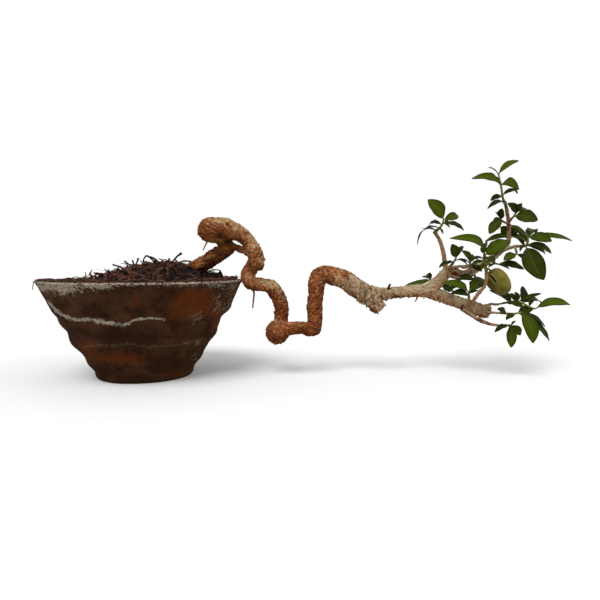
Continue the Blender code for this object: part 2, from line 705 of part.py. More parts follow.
def build_screen():
    """The plastic screen that keeps the soil from the drain holes."""
    middle = BOWL_FLOOR + GAP + SCREEN_SIZE[2] / 2
    screen = box("drain_screen", SCREEN_SIZE, (0, 0, middle), "plastic_mesh")
    holes = []
    for side in (-1, 1):
        for column in (-1, 0, 1):
            for row in (-1, 0, 1):
                centre = (side * DRAIN_SPACING / 2 + column * SCREEN_PITCH, row * SCREEN_PITCH, middle)
                size = (SCREEN_HOLE, SCREEN_HOLE, 4 * SCREEN_SIZE[2])
                holes.append(box("hole", size, centre, "plastic_mesh"))
    boolean(screen, holes, "DIFFERENCE")


def mat_height(x, y):
    """Height of the root mat's surface, in millimetres: a heap round the stem, thin out to the rim."""
    east, north = (x - MOUND_CENTRE[0]) / MOUND_REACH[0], (y - MOUND_CENTRE[1]) / MOUND_REACH[1]
    away = math.hypot(east, north)
    heap = MOUND_HEIGHT * math.exp(-(away ** MOUND_STEEPNESS))
    rough = MAT_ROUGHNESS * noise.noise(Vector((x, y, 0.0)) / MAT_LUMP) * min(1.0, 0.35 + heap / 8.0)
    return SOIL_TOP + MAT_EDGE + heap + rough


def build_soil(hollow):
    """The soil that fills the bowl, with room for the screen and for the buried wood."""
    wall = [point for point in inner_outline(GAP) if point[1] < SOIL_TOP]
    outline = [(0.0, BOWL_FLOOR + GAP), *wall, (inside_radius(SOIL_TOP, GAP), SOIL_TOP), (0.0, SOIL_TOP)]

    def shape(radius, angle, height):
        return radius * wobble(angle), height

    soil = turned("soil", outline, "potting_soil", shape)
    room = (SCREEN_SIZE[0] + 2 * GAP, SCREEN_SIZE[1] + 2 * GAP, 2 * (SCREEN_SIZE[2] + GAP))
    pocket = box("pocket", room, (0, 0, BOWL_FLOOR + GAP), "potting_soil")
    boolean(soil, [pocket, *hollow], "DIFFERENCE")
    keep_largest(soil)


def strand(index, draw):
    """One root or fibre of the mat: an arc with one or both ends sunk in the heap."""
    x = MOUND_CENTRE[0] + draw.gauss(0.0, STRAND_SCATTER) * MOUND_REACH[0]
    y = MOUND_CENTRE[1] + draw.gauss(0.0, STRAND_SCATTER) * MOUND_REACH[1]
    heading = draw.uniform(0, math.tau)
    reach = draw.uniform(*STRAND_REACH)
    rise = draw.uniform(*STRAND_RISE)
    free = draw.random() < FREE_STRANDS
    radius = draw.uniform(*STRAND_RADIUS)
    path = []
    for step in range(STRAND_STEPS + 1):
        t = step / STRAND_STEPS
        px = x + math.cos(heading) * reach * t
        py = y + math.sin(heading) * reach * t + draw.uniform(-STRAND_WANDER, STRAND_WANDER)
        if math.hypot(px, py) > MAT_RINGS[-1]:
            return None
        under = mat_height(x, y) if free else mat_height(px, py)
        height = under - STRAND_SINK + rise * (t if free else math.sin(math.pi * t))
        path.append((Vector((px, py, height)) * MM, radius * (1 - STRAND_TAPER * t) * MM))
    return tube(f"strand_{index}", path, HAIR_SIDES, STRAND_SPACING, slot="root_fibre")


def build_mat(hollow):
    """The heap of fine roots and fibre over the soil."""
    under = SOIL_TOP + GAP
    outline = [(0.0, under), (inside_radius(under, GAP), under), (inside_radius(MAT_RIM, GAP), MAT_RIM)]
    outline += [(radius, MAT_RIM) for radius in (*reversed(MAT_RINGS), 0.0)]

    def shape(radius, angle, height):
        radius *= wobble(angle)
        if height > under + GAP and radius < MAT_RINGS[-1] * 1.03:
            height = mat_height(radius * math.cos(angle), radius * math.sin(angle))
        return radius, height

    mat = turned("root_mat", outline, "root_fibre", shape)
    draw = random.Random(SEED)
    strands = [strand(index, draw) for index in range(STRANDS)]
    boolean(mat, [piece for piece in strands if piece], "UNION", "MANIFOLD")
    boolean(mat, hollow, "DIFFERENCE", "MANIFOLD")
    keep_largest(mat)


def wood_paths():
    """Every stretch of the tree's wood as (name, path, sides, spacing, knobbliness)."""
    stretches = []
    for name, points in MAIN_WOOD.items():
        stretches.append((name, drawn(points), MAIN_SIDES, MAIN_SPACING, BARK_RELIEF))
    for n, points in enumerate(BURIED_ROOTS):
        path = [(Vector((x, y, z)) * MM, radius * MM) for x, y, z, radius in points]
        stretches.append((f"buried_root_{n}", path, ROOT_SIDES, TWIG_SPACING, 0.0))
    for name, points in TWIGS.items():
        stretches.append((f"twig_{name}", drawn(points, CROWN_SPREAD), TWIG_SIDES, TWIG_SPACING, 0.0))
    for n, points in enumerate(AERIAL_ROOTS):
        stretches.append((f"aerial_root_{n}", drawn(points), HAIR_SIDES, TWIG_SPACING, 0.0))
    return stretches


def build_trunk():
    """The tree's wood, grown as one piece from the buried roots to the twigs' ends."""
    pieces = [tube(*stretch) for stretch in wood_paths()]
    for n, (centre, radii) in enumerate(KNOBS):
        pieces.append(ball(f"knob_{n}", seen(*centre), radii))
    trunk = pieces[0]
    trunk.name = "trunk"
    boolean(trunk, pieces[1:], "UNION")
    keep_largest(trunk)


def wood_hollow():
    """A set of cutters, a gap wider than the wood all round, for what the wood stands in."""
    cutters = []
    for name, path, sides, spacing, knobbly in wood_paths():
        if name.startswith(BURIED):
            more = (GAP + knobbly * HOLLOW_MARGIN) * MM
            wider = [(centre, radius + more) for centre, radius in path]
            for end, inner in ((0, 1), (-1, -2)):
                outward = (path[end][0] - path[inner][0]).normalized()
                wider[end] = (path[end][0] + outward * more, wider[end][1])
            cutters.append(tube(f"cut_{name}", wider, sides, spacing))
    return cutters


def leaf_outline(t):
    """Half-width of a leaf along its length, as a share of its widest."""
    if t <= PETIOLE_SHARE:
        return 0.0
    return math.sin(math.pi * ((t - PETIOLE_SHARE) / (1 - PETIOLE_SHARE)) ** 0.92) ** 0.8


def leaf(name, root, tip, width, face, arch):
    """One leaf blade with its petiole: thin, folded along its midrib and arched."""
    along = tip - root
    length = along.length
    along.normalize()
    toward = VIEW_POINT * MM - root
    toward = (toward - along * toward.dot(along)).normalized()
    above = along.cross(toward)
    if above.z < 0:
        above.negate()
    turn = math.radians(face)
    normal = toward * math.cos(turn) + above * math.sin(turn)
    side = normal.cross(along)
    columns, rows = LONG_LEAF_GRID if length > LONG_LEAF * MM else SHORT_LEAF_GRID
    bm = bmesh.new()
    bmesh.ops.create_grid(bm, x_segments=columns, y_segments=rows, size=1.0)
    petiole = PETIOLE_WIDTH / 2 * MM
    for vertex in bm.verts:
        out = vertex.co.x
        t = ((vertex.co.y + 1) / 2) ** ROW_CROWDING
        half = max(petiole * (1 - PETIOLE_TAPER * t), width * MM / 2 * leaf_outline(t))
        lift = length * arch * 4 * t * (1 - t) + LEAF_FOLD * abs(out) * (half - petiole)
        vertex.co = root + along * (t * length) + side * (out * half) + normal * lift
    bmesh.ops.triangulate(bm, faces=bm.faces[:], quad_method="FIXED")
    under = bmesh.ops.extrude_face_region(bm, geom=bm.faces[:])["geom"]
    under = [part for part in under if isinstance(part, bmesh.types.BMVert)]
    bmesh.ops.translate(bm, verts=under, vec=normal * (-LEAF_THICKNESS * MM))
    return new_object(name, finish_mesh(bm, name), "leaf")


def grown_on(twig):
    """The first two points of what grows on from a twig's end, a gap past its cut face."""
    path = drawn(TWIGS[twig], CROWN_SPREAD)
    tip, radius = path[-1]
    outward = (tip - on_path(path, len(path) - 1.15)[0]).normalized()
    return [(tip + outward * (GAP * MM), radius), (tip + outward * ((GAP + STUB) * MM), radius * 0.95)]


def build_shoot(name, plan):
    """A leafy shoot: its green stem with its leaves, as one body."""
    path = grown_on(name) + drawn(plan["stem"], CROWN_SPREAD)
    stem = tube(f"shoot_{name}", path, STEM_SIDES, TWIG_SPACING, slot="leaf")
    leaves = []
    for n, (place, across, up, depth, width, face, arch) in enumerate(plan["leaves"]):
        root = on_path(path, place)[0]
        tip = seen(across, up, depth * CROWN_SPREAD)
        leaves.append(leaf(f"{name}_leaf_{n}", root, tip, width, face, arch))
    boolean(stem, leaves, "UNION", "MANIFOLD")
    keep_largest(stem)
    stem.name = f"shoot_{name}"


def build_fruit():
    """The unripe fruit, with three soft lobes, on its stalk."""
    (centre, _), (stalk_end, stalk_radius) = drawn([FRUIT_PLACE, FRUIT_STALK_END], CROWN_SPREAD)
    axis = (stalk_end - centre).normalized()
    turn = axis.to_track_quat("Z", "Y").to_matrix()
    bm = bmesh.new()
    bmesh.ops.create_uvsphere(bm, u_segments=FRUIT_GRID[0], v_segments=FRUIT_GRID[1], radius=1.0)
    for vertex in bm.verts:
        angle = math.atan2(vertex.co.y, vertex.co.x)
        height = vertex.co.z
        lobe = 1.0 + FRUIT_LOBE_DEPTH * math.cos(FRUIT_LOBES * angle) * (1 - height * height)
        dimple = FRUIT_DIMPLES[height < 0] * math.exp((abs(height) - 1) / FRUIT_DIMPLE_SPREAD)
        girth = FRUIT_HALF_WIDTH * lobe * (1 + FRUIT_SHOULDER * height)
        level = (height - math.copysign(dimple, height)) * FRUIT_HALF_LENGTH
        vertex.co = centre + turn @ Vector((vertex.co.x * girth, vertex.co.y * girth, level)) * MM
    fruit = new_object("fruit", finish_mesh(bm, "fruit"), "fruit_skin")
    inside = centre + axis * (FRUIT_HALF_LENGTH * STALK_DEPTH * MM)
    path = grown_on("fruit") + [(stalk_end, stalk_radius), (inside, stalk_radius)]
    boolean(fruit, [tube("stalk", path, STEM_SIDES, TWIG_SPACING, slot="fruit_skin")], "UNION")


def main():
    for obj in list(bpy.data.objects):
        bpy.data.objects.remove(obj)
    build_pot()
    build_screen()
    build_soil(wood_hollow())
    build_mat(wood_hollow())
    build_trunk()
    for name, plan in SHOOTS.items():
        build_shoot(name, plan)
    build_fruit()


main()
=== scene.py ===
"""A Barbados cherry bonsai, trained as a cascade over the rim of a ridged clay bowl.

Metres, +Z up, the origin at the middle of the bowl's foot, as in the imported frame. The tree is laid out as
an elevation drawing: each of its points is given in millimetres as it is seen from the view point, across
from the bowl's axis and up from the table, with its true depth behind the bowl's axis. seen() turns such a
point into a place, and drawing_places() turns places back into points of the drawing, where marks of colour
are painted.
"""

import math
import random

import bmesh
import bpy
import numpy as np
from bpy.props import FloatProperty, FloatVectorProperty, IntProperty, PointerProperty
from mathutils import Matrix, Vector, kdtree, noise


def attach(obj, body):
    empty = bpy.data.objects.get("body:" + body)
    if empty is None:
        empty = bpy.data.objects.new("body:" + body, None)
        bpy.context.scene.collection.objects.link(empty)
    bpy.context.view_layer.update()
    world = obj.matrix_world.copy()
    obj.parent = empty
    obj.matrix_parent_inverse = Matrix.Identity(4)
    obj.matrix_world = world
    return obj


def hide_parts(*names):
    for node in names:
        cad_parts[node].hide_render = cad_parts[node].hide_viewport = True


bl_info = {
    "name": "Barbados Cherry Bonsai",
    "version": (1, 0, 0),
    "blender": (4, 5, 0),
    "location": "3D View > Sidebar > Bonsai",
    "description": "Builds a cascade bonsai with its clay bowl, root mat, bark, leaves and fruit",
    "category": "Object",
}

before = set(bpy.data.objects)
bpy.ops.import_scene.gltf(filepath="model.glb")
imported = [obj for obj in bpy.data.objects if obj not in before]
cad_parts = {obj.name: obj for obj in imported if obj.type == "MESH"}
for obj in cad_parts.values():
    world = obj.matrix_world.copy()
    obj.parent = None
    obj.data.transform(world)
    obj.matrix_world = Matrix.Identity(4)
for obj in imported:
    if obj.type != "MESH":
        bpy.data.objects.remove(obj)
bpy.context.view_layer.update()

MM = 0.001
SEED = 7

# The view point of the elevation drawing, in millimetres
VIEW_POINT = Vector((156.0, -520.0, 111.0))
VIEW_TILT = math.radians(3.96)
DRAWING_ACROSS = 156.0
DRAWING_UP = 85.0
FORWARD = Vector((0.0, math.cos(VIEW_TILT), -math.sin(VIEW_TILT)))
UPWARD = Vector((0.0, math.sin(VIEW_TILT), math.cos(VIEW_TILT)))
SENSOR = 36.0
LENS = SENSOR * -VIEW_POINT.y / 600.0  # a point at the bowl's axis is drawn at one pixel to the millimetre

# The bowl's outline, radius and height in millimetres, from its foot to its rim
BOWL_PROFILE = [
    (44.5, 0.0), (46.6, 2.2), (48.2, 7.5), (52.6, 14.5), (57.2, 22.5), (62.2, 29.5), (66.4, 35.5),
    (69.4, 41.0), (72.2, 48.5), (77.6, 59.5), (82.0, 65.0), (86.0, 72.0), (90.6, 82.0), (94.4, 90.5),
    (96.6, 94.0),
]
RIM_RADIUS, RIM_HEIGHT = BOWL_PROFILE[-1]

# Stretches of wood laid out on the drawing: across, up, depth and the wood's radius there
MAIN_WOOD = {
    "base_stem": [
        (8, 72, 14, 8.5), (22, 90, 13, 10), (36, 105.5, 12, 9.6), (48, 114.4, 10, 8.4), (60, 121.4, 8, 7.8),
        (73, 129.8, 4, 7.6), (83, 136.2, 0, 7.3), (88, 137.5, -1, 6), (90.5, 137, -1.5, 3),
    ],
    "root_band": [
        (50, 114, 1, 2.6), (59, 121.5, -1, 3.2), (66, 127.5, -3, 3.4), (75, 134, -5, 3.5),
        (84, 139.5, -7, 3.3), (93, 137.5, -7, 3), (101, 133.5, -8, 2.8), (110, 130.5, -9, 3),
    ],
    "neck": [(84, 137, -3, 7), (81, 143, -7, 7.2), (76, 149, -12, 8)],
    "first_loop": [
        (66, 155, -17, 9.6), (78, 157, -18, 10.2), (88, 154.5, -16, 8.8), (98.2, 149.6, -12, 7.1),
        (104.8, 143.3, -8, 6.8), (108, 137.5, -8, 7.1), (111, 131.5, -9, 7.4), (112.6, 124, -10, 7.8),
        (113, 118.5, -10, 6.8), (112.8, 115, -9, 3.5),
    ],
    "first_drop": [
        (111, 125, -5, 6.5), (107.5, 117, -3, 6.8), (104.2, 112, -4, 7.0), (104.6, 105.5, -6, 7.2),
        (109.5, 101, -4, 6.6), (118, 100.5, -1, 6.4), (126.8, 98, 0, 7), (132.3, 91.5, 1, 7.3),
        (135.8, 84, 1, 7.2), (137.6, 75, 2, 7), (136.8, 65, 2, 7), (134, 56, 0, 7),
    ],
    "low_run": [
        (134, 54, -9, 8), (146, 56.5, -11, 6.6), (156, 57.5, -9, 6.2), (165, 56, -6, 6.8),
        (171, 57, -4, 7.4), (173, 59.5, -3, 6),
    ],
    "second_rise": [
        (169.5, 55.5, -4, 5), (170, 60, -4, 7.6), (171.3, 69, -2, 7.4), (170.5, 79, -1, 7.7),
        (172, 90, 1, 7.4), (172.5, 100.5, 3, 8.4), (174, 107, 4, 8.5), (177, 111, 4, 6),
    ],
    "shoulder": [
        (170.5, 104, 4, 6), (174, 108.5, 4, 8.2), (181, 110.8, 4, 8.6), (190, 108.7, 3, 9),
        (200, 105.5, 2, 9.4), (208, 100, 1, 9.4), (216, 94.5, 0, 9.7), (224, 89.2, -1, 9.2),
        (230.6, 82.4, -2, 7.8), (235.6, 75.8, -3, 5.6),
    ],
    "long_branch": [
        (220, 92, 1, 7.5), (228, 91.7, 3, 7.2), (236, 91.5, 4, 6.3), (246, 92, 5, 5.8), (260, 93.3, 6, 5.8),
        (276, 94.4, 5, 6.4), (288, 94, 4, 7.2), (292, 93, 4, 5),
    ],
    "lower_fork": [
        (280, 95, 5, 7), (296, 89.5, 4, 6.2), (308, 85, 2, 5.8), (319, 81, 1, 6.1), (330, 77, 0, 6.7),
        (340, 73.5, 0, 6.5), (344.5, 72.3, 0, 5.4),
    ],
    "upper_fork": [(282, 93, 4, 6.4), (293.5, 102.5, 2, 6), (300, 109.5, 0, 5.6), (303.5, 115.5, 0, 4.4)],
}

# The two knots, each with its middle on the drawing and its half widths along the three axes
KNOBS = [((68, 155, -16), (13.4, 12.0, 12.2)), ((133.5, 53, -8), (11.7, 11.0, 11.7))]

# Roots under the mat, in true millimetres: X, Y, Z and radius
BURIED_ROOTS = [
    [(28, 12, 78, 8), (16, 24, 62, 5.5), (0, 34, 46, 3.5), (-14, 38, 36, 2)],
    [(26, 8, 74, 7), (26, -10, 58, 5), (18, -26, 42, 3.2), (10, -34, 34, 2)],
    [(16, 10, 66, 8), (-4, 4, 54, 5.5), (-24, 0, 44, 3.5), (-36, -6, 38, 2)],
]

# Woody twigs and roots in the air, laid out as the wood is
TWIGS = {
    "left_tip": [
        (302, 114, 0, 2.8), (300.4, 126, -2, 2.3), (298, 137.6, -4, 2.1), (294.7, 146.5, -6, 1.9),
        (292, 151, -7, 1.8),
    ],
    "crown": [
        (360.5, 135.5, 11, 2.5), (364, 142, 10, 2.3), (364.8, 150, 9, 2.2), (364.7, 158, 8, 2.1),
        (363.9, 167.6, 6, 2.0), (362.5, 176.8, 4, 1.9), (361.3, 181, 3, 1.7),
    ],
    "rising": [
        (301, 112, 1, 4.2), (309.7, 111.4, 6, 3.6), (318, 110.6, 9, 3.3), (326, 113, 11, 3.1),
        (332.7, 117.4, 12, 2.9), (344, 124, 12, 2.7), (352, 129.5, 12, 2.6), (360, 135.5, 11, 2.5),
        (362.5, 137.5, 11, 1.8),
    ],
    "rising_upper": [
        (318, 117.5, -1, 1.5), (327, 118.6, 4, 1.4), (335, 121.4, 8, 1.5), (345, 127.6, 10, 1.5),
        (356, 134.6, 10, 1.4),
    ],
    "rising_lower": [
        (306, 109.4, 0, 1.8), (313, 107.4, 3, 2.0), (321, 107.2, 6, 1.9), (328, 110, 8, 1.7),
        (336, 115.6, 9, 1.5), (346, 122.4, 9, 1.3), (354, 128.6, 10, 1.1),
    ],
    "rising_chunk": [(300, 112, 0, 3.6), (306, 114.4, 0, 3.4), (312, 113.6, 1, 2.6), (316, 110.4, 3, 1.8)],
    "rising_front": [
        (304, 117.6, -4, 1.4), (311, 116.8, 0, 1.4), (318, 113.6, 3, 1.3), (326, 115.8, 5, 1.3),
        (336, 120.4, 7, 1.3), (344, 126, 8, 1.1),
    ],
    "right": [(358, 134.5, 11, 2.0), (365.3, 137, 9, 1.9), (371.6, 138.7, 6, 1.7), (377, 138.8, 3, 1.5)],
    "left_back": [(302, 116, 1, 2.0), (313, 118.3, 0, 1.6), (320, 118.8, -1, 1.5), (325, 119.6, -2, 1.4)],
    "front": [
        (327, 80, -3, 2.2), (331.5, 87.6, -9, 1.9), (336, 93.3, -12, 1.8), (340.7, 99, -15, 1.7),
        (342, 105, -17, 1.6), (342, 113, -19, 1.5), (341.5, 120, -20, 1.4),
    ],
    "lower_upper": [(338, 77, 1, 2.0), (346, 80.5, 4, 1.5), (353.4, 80.8, 5, 1.3), (359, 81.8, 6, 1.2)],
    "lower_right": [(341, 72, -3, 1.7), (350.6, 72.4, -8, 1.3), (355.5, 72, -10, 1.2)],
    "lower_tip": [
        (318, 76, -2, 2.4), (326, 70.6, -4, 2.1), (333, 66.5, -5, 2.0), (338.6, 63.6, -6, 1.9),
        (345.6, 61.1, -6, 1.7), (352.7, 59.7, -6, 1.5), (358.5, 59.5, -6, 1.2),
    ],
    "crown_right": [(364.2, 163, 7, 1.5), (367.2, 166, 3, 1.1)],
    "crown_left": [(364.2, 161, 7, 1.5), (360, 163, 4, 1.1)],
    "upper_fan": [(364.6, 146, 9, 1.6), (366.2, 147.5, 14.5, 1.2)],
    "right_under": [(370.5, 138.4, 6, 1.5), (372, 134.5, 3.5, 1.1)],
    "inner_right": [(347, 126, 12, 2.0), (350, 122.5, 7.5, 1.3)],
    "left_low": [(303.5, 116, 0, 2.4), (307.6, 120.2, -5, 1.3)],
    "inner_low": [(324.5, 79, -3, 2.2), (324.8, 86.5, -7.5, 1.3)],
    "crotch": [(307, 84, 0, 2.4), (308.6, 91.3, -3, 1.2)],
    "under": [(329, 114, 11, 2.0), (331, 108.6, 7.5, 1.2)],
    "behind": [(289, 99, 4, 2.6), (287.5, 103.5, 12, 1.3)],
    "fruit": [(342, 113, -19, 1.4), (343.2, 115.6, -15.5, 1.0)],
}
AERIAL_ROOTS = [
    [(65, 146, -20, 0.9), (61.5, 140, -21, 0.7), (59, 134.5, -21, 0.5)],
    [(108, 98, 2, 1.1), (110, 92, 0, 0.9), (109.6, 86, -1, 0.9), (108.6, 77, -1, 0.7)],
    [(100, 101, 4, 1.0), (102, 98, 0, 0.9), (104.5, 95.5, -2, 0.6)],
    [
        (58, 119, 0, 1.0), (61, 128, -4, 0.8), (66, 134.6, -5, 0.7), (70.6, 132.5, -4, 0.7),
        (71.5, 129, -4, 0.7),
    ],
    [(55, 117, -1, 0.9), (57.5, 124, -3, 0.7), (62, 130.5, -4, 0.6), (67, 132, -4, 0.5)],
    [(273.6, 90.5, 0, 1.4), (272.8, 86.5, -3, 0.9), (271, 83, -4, 0.35)],
    [(318.6, 80, -4, 1.3), (317.6, 75.6, -6, 0.8), (316.4, 73.6, -6, 0.3)],
    [(226, 76, -6, 1.4), (229.5, 73.4, -7, 1.2), (233.4, 72.4, -8, 0.7)],
    [(243.6, 93, 2, 1.7), (244.8, 98, 0, 1.4), (246.4, 101, -1, 0.9)],
]

